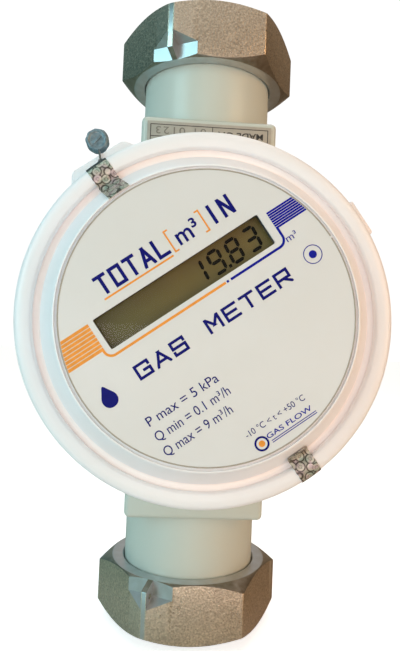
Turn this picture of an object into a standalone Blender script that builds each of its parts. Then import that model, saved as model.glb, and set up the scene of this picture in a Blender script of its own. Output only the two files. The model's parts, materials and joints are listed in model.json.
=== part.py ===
"""Electronic jet gas meter with captive union nuts and a round display head that turns on its body.

World frame: the origin is on the pipe axis at mid-length, +Z runs up the pipe, the dial faces -Y and +X
is to the reader's right.
Lengths are in millimetres here, and become metres where a mesh or a place is made.
Front frame: X right, Y up and Z out of the body's front face, with its origin where the head's axis meets
that face.
Dial frame: the front frame turned with the head, so that the dial's text runs along its X.
"""

import math

import bmesh
import bpy
from mathutils import Matrix, Vector

MM = 0.001

# Driving dimensions
BLOCK_HALF_WIDTH = 20.4
BLOCK_HALF_DEPTH = 23.7
BLOCK_HALF_HEIGHT = 59.7
NECK_RADIUS = 21.0
NECK_END = 87.5
GAS_BORE_RADIUS = 13.0
NUT_ACROSS_FLATS = 50.7
NUT_INNER_FACE = 77.75
NUT_OUTER_FACE = 95.5
NUT_PLAY = 2.0
HEAD_DROP = 1.6
HEAD_TURN = 35.7
SWIVEL_TRAVEL = 170.0
BEZEL_RADIUS = 49.3
FACE_DEPTH = 29.8
WINDOW_HALF_SIZE = (23.75, 4.2)
WINDOW_RISE = 10.4

GAP = 0.3
FILM_GAP = 0.15
HEAD_SEGMENTS = 40
PIPE_SEGMENTS = 28
SMALL_SEGMENTS = 12
HOLE_SEGMENTS = 8
TOOL_PHASE = 4.0
OVERRUN = 3.0


# ---------------------------------------------------------------- tools

def clear_scene():
    for old in list(bpy.data.objects):
        bpy.data.objects.remove(old)


def material(name, colour, roughness, metallic=0.0, alpha=1.0):
    made = bpy.data.materials.new(name)
    made.use_nodes = True
    shader = made.node_tree.nodes["Principled BSDF"]
    shader.inputs["Base Color"].default_value = (*colour, 1.0)
    shader.inputs["Roughness"].default_value = roughness
    shader.inputs["Metallic"].default_value = metallic
    shader.inputs["Alpha"].default_value = alpha
    return made


def frame_empty(name, place, turn):
    empty = bpy.data.objects.new(name, None)
    empty.location = Vector(place) * MM
    empty.rotation_euler = [math.radians(angle) for angle in turn]
    bpy.context.scene.collection.objects.link(empty)
    return empty


def solid(name, bm, look, frame=None, smooth=True, place=(0, 0, 0), turn=(0, 0, 0)):
    """An object in metres from a bmesh in millimetres, with its faces pointing out."""
    bmesh.ops.scale(bm, vec=(MM, MM, MM), verts=bm.verts)
    bmesh.ops.recalc_face_normals(bm, faces=bm.faces)
    mesh = bpy.data.meshes.new(name)
    bm.to_mesh(mesh)
    bm.free()
    if smooth:
        mesh.shade_smooth()
        mesh.set_sharp_from_angle(angle=math.radians(35))
    made = bpy.data.objects.new(name, mesh)
    made.location = Vector(place) * MM
    made.rotation_euler = [math.radians(angle) for angle in turn]
    if look is not None:
        mesh.materials.append(look)
    made.parent = frame
    bpy.context.scene.collection.objects.link(made)
    return made


def combine(target, operation, bm, frame=None, place=(0, 0, 0), turn=(0, 0, 0)):
    """Adds a Boolean to target, whose tool is a hidden object made from a bmesh."""
    number = len(target.modifiers) + 1
    tool = solid(f"{target.name}_tool_{number}", bm, None, frame, False, place, turn)
    tool.hide_render = True
    tool.display_type = "WIRE"
    modifier = target.modifiers.new(f"{operation.lower()}_{number}", "BOOLEAN")
    modifier.operation = operation
    modifier.solver = "EXACT"
    modifier.object = tool


def box(low, high):
    bm = bmesh.new()
    bmesh.ops.create_cube(bm, size=1.0)
    for vert in bm.verts:
        vert.co = Vector(
            [low[axis] if vert.co[axis] < 0 else high[axis] for axis in range(3)]
        )
    return bm


def rounded(bm, width, segments=2):
    """Rounds every edge that runs along Z."""
    edges = [
        edge for edge in bm.edges
        if abs((edge.verts[0].co - edge.verts[1].co).normalized().z) > 0.999
    ]
    bmesh.ops.bevel(bm, geom=edges, offset=width, segments=segments, affect="EDGES", profile=0.5)
    return bm


def prism(outline, low, high):
    """A polygon in X and Y, extruded along Z."""
    bm = bmesh.new()
    face = bm.faces.new([bm.verts.new((x, y, low)) for x, y in outline])
    raised = bmesh.ops.extrude_face_region(bm, geom=[face])
    verts = [item for item in raised["geom"] if isinstance(item, bmesh.types.BMVert)]
    bmesh.ops.translate(bm, vec=(0, 0, high - low), verts=verts)
    return bm


def turned(section, segments, start=0.0, sweep=360.0):
    """A closed section of (radius, height) points turned about Z."""
    bm = bmesh.new()
    whole = sweep >= 360.0
    count = segments if whole else segments + 1
    rings = []
    for step in range(count):
        angle = math.radians(start + sweep * step / segments)
        rings.append([(r * math.cos(angle), r * math.sin(angle), h) for r, h in section])
    axis_verts = {i: bm.verts.new(rings[0][i]) for i, (r, h) in enumerate(section) if r == 0}
    verts = [
        [axis_verts.get(i) or bm.verts.new(point) for i, point in enumerate(ring)] for ring in rings
    ]
    pairs = [(i, (i + 1) % len(section)) for i in range(len(section))]
    for step in range(segments):
        one, two = verts[step], verts[(step + 1) % count]
        for i, j in pairs:
            corners = [one[i], one[j], two[j], two[i]]
            unique = list(dict.fromkeys(corners))
            if len(unique) > 2:
                bm.faces.new(unique)
    if not whole:
        bm.faces.new(verts[0])
        bm.faces.new(verts[-1])
    return bm


def disc(radius, low, high, segments=SMALL_SEGMENTS):
    """A round bar along Z. Its corners start a few degrees on, clear of those of the turned pieces."""
    outline = [polar(radius, TOOL_PHASE + 360 * step / segments) for step in range(segments)]
    return prism(outline, low, high)


def ring(inner, outer, low, high, segments=SMALL_SEGMENTS):
    return turned([(inner, low), (outer, low), (outer, high), (inner, high)], segments)


def moved(bm, place, turn=(0, 0, 0)):
    matrix = Matrix.Translation(place)
    for axis, angle in zip("XYZ", turn):
        matrix = matrix @ Matrix.Rotation(math.radians(angle), 4, axis)
    bm.transform(matrix)
    return bm


def polar(radius, angle):
    return radius * math.cos(math.radians(angle)), radius * math.sin(math.radians(angle))


def mirrored(right):
    """The outline whose right half is given, from one end of its middle line to the other."""
    return right + [(-x, y) for x, y in reversed(right)]


def drill(target, radius, low, high, places, frame=None):
    """Cuts a round hole along Z at each (x, y) place."""
    for x, y in places:
        bar = moved(disc(radius, low, high, HOLE_SEGMENTS), (x, y, 0))
        combine(target, "DIFFERENCE", bar, frame)


# ---------------------------------------------------------------- looks

def make_looks():
    return {
        "body_paint": material("body_paint", (0.72, 0.70, 0.64), 0.35),
        "nut_metal": material("nut_metal", (0.55, 0.52, 0.47), 0.45, 1.0),
        "spring_steel": material("spring_steel", (0.45, 0.45, 0.46), 0.35, 1.0),
        "zinc_steel": material("zinc_steel", (0.62, 0.62, 0.60), 0.35, 1.0),
        "seal_rubber": material("seal_rubber", (0.03, 0.03, 0.03), 0.7),
        "fibre_washer": material("fibre_washer", (0.10, 0.16, 0.12), 0.8),
        "white_plastic": material("white_plastic", (0.82, 0.82, 0.79), 0.3),
        "dial_print": material("dial_print", (0.78, 0.77, 0.73), 0.45),
        "jet_plastic": material("jet_plastic", (0.12, 0.12, 0.13), 0.5),
        "clear_pane": material("clear_pane", (0.9, 0.95, 0.95), 0.05, 0.0, 0.35),
        "lcd_glass": material("lcd_glass", (0.22, 0.20, 0.11), 0.25),
        "board_green": material("board_green", (0.02, 0.18, 0.07), 0.45),
        "battery_wrap": material("battery_wrap", (0.05, 0.12, 0.35), 0.4),
        "foil": material("foil", (0.55, 0.58, 0.52), 0.3, 0.8),
        "lead": material("lead", (0.16, 0.19, 0.21), 0.6, 0.7),
        "label_grey": material("label_grey", (0.45, 0.47, 0.44), 0.5),
        "brass": material("brass", (0.65, 0.50, 0.25), 0.35, 1.0),
    }


# ---------------------------------------------------------------- body and chamber

CHAMBER_HALF_WIDTH = 14.5
CHAMBER_HALF_HEIGHT = 31.0
CHAMBER_DEPTH = 38.2
RECESS_HALF_WIDTH = 18.4
RECESS_HALF_HEIGHT = 36.0
RECESS_DEPTH = 2.0
PLATE_FRONT = 2.4
PLATE_SCREWS = [(x, y) for y in (-33.5, 33.5) for x in (-15.8, 15.8)]
PLATE_SCREW_REACH = 12.0
PLATE_SCREW_SEAT = 0.6
SCREW_SHANK = 1.2
SCREW_HOLE = 1.5
SCREW_HEAD = 2.6
SCREW_HEAD_HEIGHT = 1.5
SCREW_HEAD_HOLE = 2.9
SNAP_RING_THICKNESS = 1.5
SNAP_RING_FROM_FACE = 3.45
RING_GROOVE_MARGIN = 0.2
COLLAR_RADIUS = 12.0
COLLAR_BORE = 8.0
LEAD_HOLE_RADIUS = 3.0
COLLAR_TOP = 10.8
CLIP_GROOVE = (9.1, 10.1)
CLIP_GROOVE_RADIUS = 11.0
STOP_PIN_PLACE = 22.0
STOP_PIN_RADIUS = 1.2
STOP_PIN_TOP = 4.0
PROBE_PLACE = (8.0, 28.0)
PROBE_RADIUS = 1.4
PROBE_LOW = -14.0
PROBE_TOP = 1.1


def neck_section(side):
    """The neck's outline, from its root in the block to its end, with the snap ring's groove."""
    groove_low = NUT_INNER_FACE + SNAP_RING_FROM_FACE - RING_GROOVE_MARGIN
    groove_high = groove_low + SNAP_RING_THICKNESS + NUT_PLAY + 2 * RING_GROOVE_MARGIN
    groove_radius = NECK_RADIUS - 1.2
    end_chamfer = 0.8
    outline = [
        (GAS_BORE_RADIUS - 2, BLOCK_HALF_HEIGHT - 0.5),
        (NECK_RADIUS, BLOCK_HALF_HEIGHT - 0.5),
        (NECK_RADIUS, groove_low),
        (groove_radius, groove_low),
        (groove_radius, groove_high),
        (NECK_RADIUS, groove_high),
        (NECK_RADIUS, NECK_END - end_chamfer),
        (NECK_RADIUS - end_chamfer, NECK_END),
        (GAS_BORE_RADIUS - 2, NECK_END),
    ]
    return [(radius, side * height) for radius, height in outline]


def make_body_casting(looks, front):
    block = box(
        (-BLOCK_HALF_WIDTH, -BLOCK_HALF_DEPTH, -BLOCK_HALF_HEIGHT),
        (BLOCK_HALF_WIDTH, BLOCK_HALF_DEPTH, BLOCK_HALF_HEIGHT),
    )
    bmesh.ops.bevel(block, geom=block.edges, offset=1.6, segments=2, affect="EDGES", profile=0.5)
    casting = solid("body_casting", block, looks["body_paint"])
    for side in (1, -1):
        combine(casting, "UNION", turned(neck_section(side), PIPE_SEGMENTS))
    bore_end = NECK_END + OVERRUN
    combine(casting, "DIFFERENCE", disc(GAS_BORE_RADIUS, -bore_end, bore_end, PIPE_SEGMENTS))
    chamber = box(
        (-CHAMBER_HALF_WIDTH, -CHAMBER_HALF_HEIGHT, -CHAMBER_DEPTH),
        (CHAMBER_HALF_WIDTH, CHAMBER_HALF_HEIGHT, OVERRUN),
    )
    combine(casting, "DIFFERENCE", rounded(chamber, 3.0), front)
    recess = box(
        (-RECESS_HALF_WIDTH, -RECESS_HALF_HEIGHT, -RECESS_DEPTH),
        (RECESS_HALF_WIDTH, RECESS_HALF_HEIGHT, OVERRUN),
    )
    combine(casting, "DIFFERENCE", rounded(recess, 3.0), front)
    drill(casting, SCREW_HOLE, -PLATE_SCREW_REACH, 0, PLATE_SCREWS, front)


def make_chamber_gasket(looks, front):
    outer = box(
        (-RECESS_HALF_WIDTH + GAP, -RECESS_HALF_HEIGHT + GAP, -RECESS_DEPTH + 0.1),
        (RECESS_HALF_WIDTH - GAP, RECESS_HALF_HEIGHT - GAP, -RECESS_DEPTH + 0.9),
    )
    gasket = solid("chamber_gasket", rounded(outer, 2.8), looks["seal_rubber"], front, False)
    inner = box(
        (-CHAMBER_HALF_WIDTH - GAP, -CHAMBER_HALF_HEIGHT - GAP, -RECESS_DEPTH - 1),
        (CHAMBER_HALF_WIDTH + GAP, CHAMBER_HALF_HEIGHT + GAP, -RECESS_DEPTH + 2),
    )
    combine(gasket, "DIFFERENCE", rounded(inner, 3.2), front)
    drill(gasket, SCREW_HOLE, -RECESS_DEPTH - OVERRUN, OVERRUN, PLATE_SCREWS, front)


def make_chamber_plate(looks, front):
    """The plate that closes the chamber, with the collar that the head turns on and its stop pin."""
    plate_back = -RECESS_DEPTH + 1.2
    flat = box(
        (-RECESS_HALF_WIDTH + GAP, -RECESS_HALF_HEIGHT + GAP, plate_back),
        (RECESS_HALF_WIDTH - GAP, RECESS_HALF_HEIGHT - GAP, PLATE_FRONT),
    )
    plate = solid("chamber_plate", rounded(flat, 2.8), looks["body_paint"], front)
    collar = turned(
        [
            (0, PLATE_FRONT - 1.0),
            (COLLAR_RADIUS, PLATE_FRONT - 1.0),
            (COLLAR_RADIUS, CLIP_GROOVE[0]),
            (CLIP_GROOVE_RADIUS, CLIP_GROOVE[0]),
            (CLIP_GROOVE_RADIUS, CLIP_GROOVE[1]),
            (COLLAR_RADIUS, CLIP_GROOVE[1]),
            (COLLAR_RADIUS, COLLAR_TOP - 0.4),
            (COLLAR_RADIUS - 0.4, COLLAR_TOP),
            (0, COLLAR_TOP),
        ],
        PIPE_SEGMENTS,
    )
    combine(plate, "UNION", collar, front)
    well = disc(COLLAR_BORE, PLATE_FRONT - 0.6, COLLAR_TOP + OVERRUN, PIPE_SEGMENTS)
    combine(plate, "DIFFERENCE", well, front)
    lead_way = disc(LEAD_HOLE_RADIUS, plate_back - OVERRUN, PLATE_FRONT + OVERRUN)
    combine(plate, "DIFFERENCE", lead_way, front)
    pin = disc(STOP_PIN_RADIUS, PLATE_FRONT - 1, STOP_PIN_TOP, HOLE_SEGMENTS)
    combine(plate, "UNION", moved(pin, (0, STOP_PIN_PLACE, 0)), front)
    drill(plate, SCREW_HOLE, plate_back - OVERRUN, PLATE_FRONT + OVERRUN, PLATE_SCREWS, front)
    drill(plate, SCREW_HEAD_HOLE, PLATE_SCREW_SEAT, PLATE_FRONT + OVERRUN, PLATE_SCREWS, front)
    drill(plate, PROBE_RADIUS + 0.4, plate_back - OVERRUN, PROBE_TOP + 0.4, [PROBE_PLACE], front)


def machine_screw(name, look, frame, place, length, under_head):
    """A cylinder-head screw along Z with a hexagon socket. Its head's underside is at under_head."""
    head_top = under_head + SCREW_HEAD_HEIGHT
    body = turned(
        [
            (0, under_head - length),
            (SCREW_SHANK, under_head - length),
            (SCREW_SHANK, under_head),
            (SCREW_HEAD, under_head),
            (SCREW_HEAD, head_top),
            (0, head_top),
        ],
        HOLE_SEGMENTS,
    )
    screw = solid(name, body, look, frame, True, (*place, 0))
    socket = disc(SCREW_SHANK, head_top - 0.9, head_top + OVERRUN, 6)
    combine(screw, "DIFFERENCE", socket, frame, (*place, 0))


def make_chamber_screws(looks, front):
    for number, place in enumerate(PLATE_SCREWS, 1):
        seat = PLATE_SCREW_SEAT + 0.2
        machine_screw(f"chamber_screw_{number}", looks["zinc_steel"], front, place, 10.0, seat)


# ---------------------------------------------------------------- jet module

JET_HALF_WIDTH = 13.9
JET_HALF_HEIGHT = 25.0
JET_CORNER = 2.8
JET_BACK = -37.6
JET_FRONT = -16.0
JET_CHANNEL_DEPTH = 9.0
JET_GASKET_BACK = JET_FRONT + 0.2
JET_GASKET_FRONT = JET_GASKET_BACK + 0.8
JET_COVER_BACK = JET_GASKET_FRONT + 0.2
JET_COVER_FRONT = -11.5
JET_SCREWS = [(-10.5, -21.5), (10.5, -21.5), (-10.5, 21.5), (10.5, 21.5)]
SENSOR_RADIUS = 6.0
SENSOR_SEAT_DEPTH = 2.5
SENSOR_PORT = (3.0, 0)


def jet_channel_outline(mouth, half_height):
    """The oscillator's flow path from the top: throat, nozzle, widening chamber and outlet."""
    return mirrored([
        (mouth, half_height),
        (mouth, 18.0),
        (0.9, 12.0),
        (0.9, 8.0),
        (6.5, 6.0),
        (8.5, -4.0),
        (4.0, -12.0),
        (4.0, -half_height),
    ])


def jet_layer(name, back, front_face, look, front):
    """One layer of the module, as wide and high as the whole."""
    slab = box((-JET_HALF_WIDTH, -JET_HALF_HEIGHT, back), (JET_HALF_WIDTH, JET_HALF_HEIGHT, front_face))
    return solid(name, rounded(slab, JET_CORNER), look, front, False)


def make_jet_module(looks, front):
    base = jet_layer("jet_module_base", JET_BACK, JET_FRONT, looks["jet_plastic"], front)
    gasket = jet_layer("jet_module_gasket", JET_GASKET_BACK, JET_GASKET_FRONT, looks["seal_rubber"], front)
    cover = jet_layer("jet_module_cover", JET_COVER_BACK, JET_COVER_FRONT, looks["jet_plastic"], front)

    through = jet_channel_outline(5.0, JET_HALF_HEIGHT + OVERRUN)
    channel = prism(through, JET_FRONT - JET_CHANNEL_DEPTH, JET_FRONT + OVERRUN)
    combine(base, "DIFFERENCE", channel, front)
    within = jet_channel_outline(4.0, JET_HALF_HEIGHT - 4.0)
    opening = prism(within, JET_GASKET_BACK - OVERRUN, JET_GASKET_FRONT + OVERRUN)
    combine(gasket, "DIFFERENCE", opening, front)
    seat = disc(SENSOR_RADIUS + GAP, JET_COVER_FRONT - SENSOR_SEAT_DEPTH, JET_COVER_FRONT + OVERRUN)
    combine(cover, "DIFFERENCE", seat, front)
    drill(cover, 1.0, JET_COVER_BACK - OVERRUN, JET_COVER_FRONT, [SENSOR_PORT], front)
    drill(base, SCREW_HOLE, JET_FRONT - 10, JET_FRONT + OVERRUN, JET_SCREWS, front)
    for part in (gasket, cover):
        drill(part, SCREW_HOLE, JET_FRONT - OVERRUN, JET_COVER_FRONT + OVERRUN, JET_SCREWS, front)
    for number, place in enumerate(JET_SCREWS, 1):
        name = f"jet_module_screw_{number}"
        machine_screw(name, looks["zinc_steel"], front, place, 12.0, JET_COVER_FRONT + 0.2)

    wedge = [(-3.0, -4.0), (0, 1.0), (3.0, -4.0), (0, -7.5)]
    splitter = prism(wedge, JET_FRONT - JET_CHANNEL_DEPTH + GAP, JET_FRONT - 0.1)
    solid("jet_splitter", splitter, looks["jet_plastic"], front, False)


def make_sensors(looks, front):
    """The piezo disc that feels the jet swing, the sleeve round its contact, and the temperature probe."""
    sensor_back = JET_COVER_FRONT - SENSOR_SEAT_DEPTH + GAP
    sensor_front = JET_COVER_FRONT + 1.0
    sensor = solid("piezo_sensor", disc(SENSOR_RADIUS, sensor_back, sensor_front), looks["brass"], front)
    contact_radius = 1.5
    contact = disc(contact_radius, sensor_front - 0.5, sensor_front + 1.6, HOLE_SEGMENTS)
    combine(sensor, "UNION", contact, front)
    sleeve = ring(contact_radius + 0.5, SENSOR_RADIUS - 0.4, sensor_front + GAP, -1.2)
    solid("sensor_sleeve", sleeve, looks["seal_rubber"], front)
    probe = turned(
        [
            (0, PROBE_LOW),
            (0.9, PROBE_LOW + 0.3),
            (PROBE_RADIUS, PROBE_LOW + 1.0),
            (PROBE_RADIUS, PROBE_TOP),
            (0, PROBE_TOP),
        ],
        SMALL_SEGMENTS,
    )
    solid("temperature_probe", probe, looks["spring_steel"], front, True, (*PROBE_PLACE, 0))


# ---------------------------------------------------------------- pipe connections

NUT_WIDE_BORE = 21.3
NUT_RING_GROOVE = 22.6
NUT_THREAD_MINOR = 19.5
NUT_THREAD_START = 10.4
NUT_CHAMFER_CIRCLE = 24.9
WASHER_INNER = 14.0
WASHER_OUTER = 19.2
WASHER_THICKNESS = 2.0
SEAL_CORNER_ANGLE = -120.0
SEAL_CORNER_FLAT = 0.55
SEAL_RIDGE_HALF = 0.85
SEAL_HOLE_PLACE = (26.6, 4.0)
SEAL_HOLE_RADIUS = 0.75
NUT_TURN = {1: 3.1, -1: 2.1}
SIDE_NAME = {1: "upper", -1: "lower"}
SNAP_RING_RADII = (20.2, 22.3)
SNAP_RING_START = 97.0
SNAP_RING_SWEEP = 346.0
STRAINER_SPAN = (62.0, 63.5)
STRAINER_HOLE = 3.0
STRAINER_HOLE_CIRCLE = 8.0


def make_snap_ring(looks, side):
    low = NUT_INNER_FACE + SNAP_RING_FROM_FACE
    high = low + SNAP_RING_THICKNESS
    inner, outer = SNAP_RING_RADII
    section = [(inner, side * low), (outer, side * low), (outer, side * high), (inner, side * high)]
    made = turned(section, PIPE_SEGMENTS, SNAP_RING_START, SNAP_RING_SWEEP)
    solid(f"{SIDE_NAME[side]}_snap_ring", made, looks["spring_steel"])


def make_seal_washer(looks, side):
    low = NECK_END + GAP
    high = low + WASHER_THICKNESS
    washer = ring(WASHER_INNER, WASHER_OUTER, side * low, side * high, PIPE_SEGMENTS)
    solid(f"{SIDE_NAME[side]}_seal_washer", washer, looks["fibre_washer"])


def nut_outline_section(height):
    """The nut's turned blank: chamfered ends, a wide bore with a groove, and the thread's bore."""
    corner = NUT_ACROSS_FLATS / math.sqrt(3) + 1.0
    chamfer = (corner - NUT_CHAMFER_CIRCLE) * math.tan(math.radians(30))
    groove_low = SNAP_RING_FROM_FACE - 0.15
    groove_high = groove_low + SNAP_RING_THICKNESS + 0.3
    return [
        (NUT_WIDE_BORE + 0.4, 0),
        (NUT_CHAMFER_CIRCLE, 0),
        (corner, chamfer),
        (corner, height - chamfer),
        (NUT_CHAMFER_CIRCLE, height),
        (NUT_THREAD_MINOR + 1.5, height),
        (NUT_THREAD_MINOR, height - 1.5),
        (NUT_THREAD_MINOR, NUT_THREAD_START + 1.2),
        (NUT_WIDE_BORE, NUT_THREAD_START),
        (NUT_WIDE_BORE, groove_high),
        (NUT_RING_GROOVE, groove_high),
        (NUT_RING_GROOVE, groove_low),
        (NUT_WIDE_BORE, groove_low),
        (NUT_WIDE_BORE, 0.4),
    ]


def pocket_section():
    """A seal-wire pocket's wall and its floor, which slopes out, from the nut's inner face."""
    wall = NUT_CHAMFER_CIRCLE + 0.1
    outside = wall + 7.0
    return [(wall, -OVERRUN), (wall, 4.5), (outside, 9.6), (outside, -OVERRUN)]


def make_union_nut(looks, side):
    """A hexagon nut. Its front left corner is a thin ridge between two pockets, drilled for a seal wire."""
    height = NUT_OUTER_FACE - NUT_INNER_FACE
    section = [(radius, side * (NUT_INNER_FACE + rise)) for radius, rise in nut_outline_section(height)]
    nut = solid(f"{SIDE_NAME[side]}_union_nut", turned(section, PIPE_SEGMENTS), looks["nut_metal"])
    corner = NUT_ACROSS_FLATS / math.sqrt(3)
    hexagon = [polar(corner, NUT_TURN[side] + 60 * step) for step in range(6)]
    spread = sorted((side * (NUT_INNER_FACE - OVERRUN), side * (NUT_OUTER_FACE + OVERRUN)))
    combine(nut, "INTERSECT", prism(hexagon, *spread))

    ridge = SEAL_CORNER_ANGLE + NUT_TURN[side]
    for way in (1, -1):
        outline = [(radius, NUT_INNER_FACE + rise) for radius, rise in pocket_section()]
        pocket = prism(outline, SEAL_RIDGE_HALF, 8.0)
        upright = Matrix(((1, 0, 0, 0), (0, 0, way, 0), (0, side, 0, 0), (0, 0, 0, 1)))
        pocket.transform(upright)
        combine(nut, "DIFFERENCE", moved(pocket, (0, 0, 0), (0, 0, ridge)))
    flat = box(
        (corner - SEAL_CORNER_FLAT, -4.0, spread[0]),
        (corner + OVERRUN, 4.0, spread[1]),
    )
    combine(nut, "DIFFERENCE", moved(flat, (0, 0, 0), (0, 0, ridge)))
    hole_radius, hole_rise = SEAL_HOLE_PLACE
    hole_centre = (hole_radius, 0, side * (NUT_INNER_FACE + hole_rise))
    hole = moved(disc(SEAL_HOLE_RADIUS, -OVERRUN, OVERRUN, HOLE_SEGMENTS), hole_centre, (90, 0, 0))
    combine(nut, "DIFFERENCE", moved(hole, (0, 0, 0), (0, 0, ridge)))


def make_inlet_strainer(looks):
    """A perforated disc in the upper neck, where the gas comes in."""
    low, high = STRAINER_SPAN
    plate = disc(GAS_BORE_RADIUS - GAP, low, high, 32)
    strainer = solid("inlet_strainer", plate, looks["spring_steel"])
    places = [(0, 0)] + [polar(STRAINER_HOLE_CIRCLE, 60 * step) for step in range(6)]
    drill(strainer, STRAINER_HOLE, low - OVERRUN, high + OVERRUN, places)


# ---------------------------------------------------------------- head

BASE_BACK = 3.0
BASE_FLOOR = 5.6
HUB_BORE = 12.3
HUB_RADIUS = 16.5
HUB_TOP = 8.6
O_RING_CENTRE = (12.75, 5.5)
O_RING_HALF = 0.6
O_RING_GROOVE = (4.6, 6.4)
O_RING_GROOVE_RADIUS = 13.7
CLIP_START = 100.0
CLIP_SWEEP = 335.0
BASE_RADIUS = 47.8
BOARD_BACK = 17.0
BOARD_FRONT = 18.6
BOARD_RADIUS = 36.0
BOARD_CUT = -14.5
POSTS = [polar(31.0, angle) for angle in (90, 200, 340)]
POST_RADIUS = 3.0
RIM_INSIDE = 45.4
LUG_OUTER = 52.4
LUG_SHOULDER = 47.6
LUG_HALF_TOP = 7.7
LUG_HALF_FOOT = 11.4
LUG_DEPTH = (9.5, 15.8)
WIRE_HOLE = (0.0, 50.5)
WIRE_HOLE_RADIUS = 1.0
TAB_OUTER = 51.4
TAB_HALF = 5.2
BATTERY_RISE = -26.2
BATTERY_DEPTH = 14.6
BATTERY_RADIUS = 7.25
BATTERY_LENGTH = 25.0
LCD_HALF_WIDTH = 24.7
LCD_HALF_HEIGHT = 5.45
LCD_BACK = 24.8
LCD_FRONT = 26.6
STRIP_OFFSET = 4.2
LABEL_RADIUS = 36.2
CAP_TOP = 29.4
CAP_INSIDE = 27.8


def make_head_base(looks, dial):
    section = [
        (HUB_BORE, BASE_BACK),
        (43.8, BASE_BACK),
        (45.8, 3.6),
        (47.0, 5.0),
        (47.3, 7.0),
        (BASE_RADIUS, 17.4),
        (47.1, 17.4),
        (47.1, 16.0),
        (45.3, 16.0),
        (44.9, 7.2),
        (43.2, BASE_FLOOR),
        (HUB_RADIUS, BASE_FLOOR),
        (HUB_RADIUS, HUB_TOP),
        (HUB_BORE, HUB_TOP),
        (HUB_BORE, O_RING_GROOVE[1]),
        (O_RING_GROOVE_RADIUS, O_RING_GROOVE[1]),
        (O_RING_GROOVE_RADIUS, O_RING_GROOVE[0]),
        (HUB_BORE, O_RING_GROOVE[0]),
    ]
    base = solid("head_base", turned(section, HEAD_SEGMENTS), looks["white_plastic"], dial)
    for x, y in POSTS:
        post = disc(POST_RADIUS, BASE_FLOOR - 1.0, BOARD_BACK - GAP)
        combine(base, "UNION", moved(post, (x, y, 0)), dial)
    drill(base, SCREW_HOLE, BASE_FLOOR + 2.4, BOARD_BACK + OVERRUN, POSTS, dial)
    lug = mirrored([
        (LUG_HALF_FOOT, RIM_INSIDE),
        (LUG_HALF_FOOT, LUG_SHOULDER),
        (LUG_HALF_TOP + 1.0, LUG_OUTER - 0.8),
        (LUG_HALF_TOP, LUG_OUTER),
    ])
    combine(base, "UNION", prism(lug, *LUG_DEPTH), dial)
    lug_back, lug_front = LUG_DEPTH
    drill(base, WIRE_HOLE_RADIUS, lug_back - OVERRUN, lug_front + OVERRUN, [WIRE_HOLE], dial)
    tab = box((RIM_INSIDE + 1.5, -TAB_HALF, 11.0), (TAB_OUTER, TAB_HALF, 17.0))
    combine(base, "UNION", rounded(tab, 0.6), dial)

    pin_half_angle = math.degrees(math.asin((STOP_PIN_RADIUS + GAP) / STOP_PIN_PLACE))
    sweep = 2 * (SWIVEL_TRAVEL + pin_half_angle) + 1.0
    inner = STOP_PIN_PLACE - STOP_PIN_RADIUS - 0.4
    outer = STOP_PIN_PLACE + STOP_PIN_RADIUS + 0.4
    low, high = BASE_BACK - 1, STOP_PIN_TOP + 0.4
    groove = [(inner, low), (outer, low), (outer, high), (inner, high)]
    combine(base, "DIFFERENCE", turned(groove, 24, 90 - sweep / 2, sweep), dial)


def make_swivel_parts(looks, dial, front):
    """The O-ring in the hub's groove, and the open ring on the collar that holds the head on."""
    radius, depth = O_RING_CENTRE
    diamond = [(-1, 0), (0, -1), (1, 0), (0, 1)]
    around = [(radius + O_RING_HALF * x, depth + O_RING_HALF * y) for x, y in diamond]
    solid("swivel_o_ring", turned(around, PIPE_SEGMENTS), looks["seal_rubber"], dial)
    inner, outer = CLIP_GROOVE_RADIUS + 0.2, HUB_RADIUS - 1.3
    low, high = CLIP_GROOVE[0] + 0.1, CLIP_GROOVE[1] - 0.1
    section = [(inner, low), (outer, low), (outer, high), (inner, high)]
    clip = turned(section, PIPE_SEGMENTS, CLIP_START, CLIP_SWEEP)
    solid("swivel_retaining_ring", clip, looks["spring_steel"], front)


def make_cover_gasket(looks, dial):
    gasket = ring(RIM_INSIDE + 0.2, 46.8, 16.3, 17.6, HEAD_SEGMENTS)
    solid("cover_gasket", gasket, looks["seal_rubber"], dial)


def bezel_outer():
    """The bezel's seen surface, from its foot round to its inner edge."""
    return [
        (48.8, 17.8),
        (BEZEL_RADIUS, 19.2),
        (49.0, 20.8),
        (48.1, 21.8),
        (46.6, 22.1),
        (44.8, 21.8),
    ]


def cap_outer():
    """The front cap's seen surface, from the sunk band at its foot up its wall to the raised face."""
    return [
        (42.9, 19.6),
        (42.4, 20.2),
        (38.1, 28.6),
        (37.6, 29.3),
        (37.1, 29.5),
    ]


def make_bezel_ring(looks, dial):
    section = [(46.9, 17.8)] + bezel_outer() + [(44.4, 21.2), (44.4, 19.9), (46.9, 19.9)]
    solid("bezel_ring", turned(section, HEAD_SEGMENTS), looks["white_plastic"], dial)


def make_front_cap(looks, dial):
    section = [(46.6, 17.9), (46.6, 19.6)] + cap_outer()
    section += [
        (37.1, 28.8),
        (36.3, 28.8),
        (36.3, CAP_TOP),
        (0, CAP_TOP),
        (0, CAP_INSIDE),
        (35.6, CAP_INSIDE),
        (41.0, 17.9),
    ]
    cap = solid("front_cap", turned(section, HEAD_SEGMENTS), looks["white_plastic"], dial)
    combine(cap, "DIFFERENCE", window_block(*WINDOW_HALF_SIZE, CAP_INSIDE - 1, CAP_TOP + 1), dial)


def make_dial_label(looks, dial):
    film = disc(LABEL_RADIUS, CAP_TOP + FILM_GAP, FACE_DEPTH, HEAD_SEGMENTS)
    label = solid("dial_label", film, looks["dial_print"], dial)
    combine(label, "DIFFERENCE", window_block(*WINDOW_HALF_SIZE, CAP_TOP - 1, FACE_DEPTH + 1), dial)


def window_block(half_width, half_height, low, high):
    """A block that is centred on the window."""
    return box((-half_width, WINDOW_RISE - half_height, low), (half_width, WINDOW_RISE + half_height, high))


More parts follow.
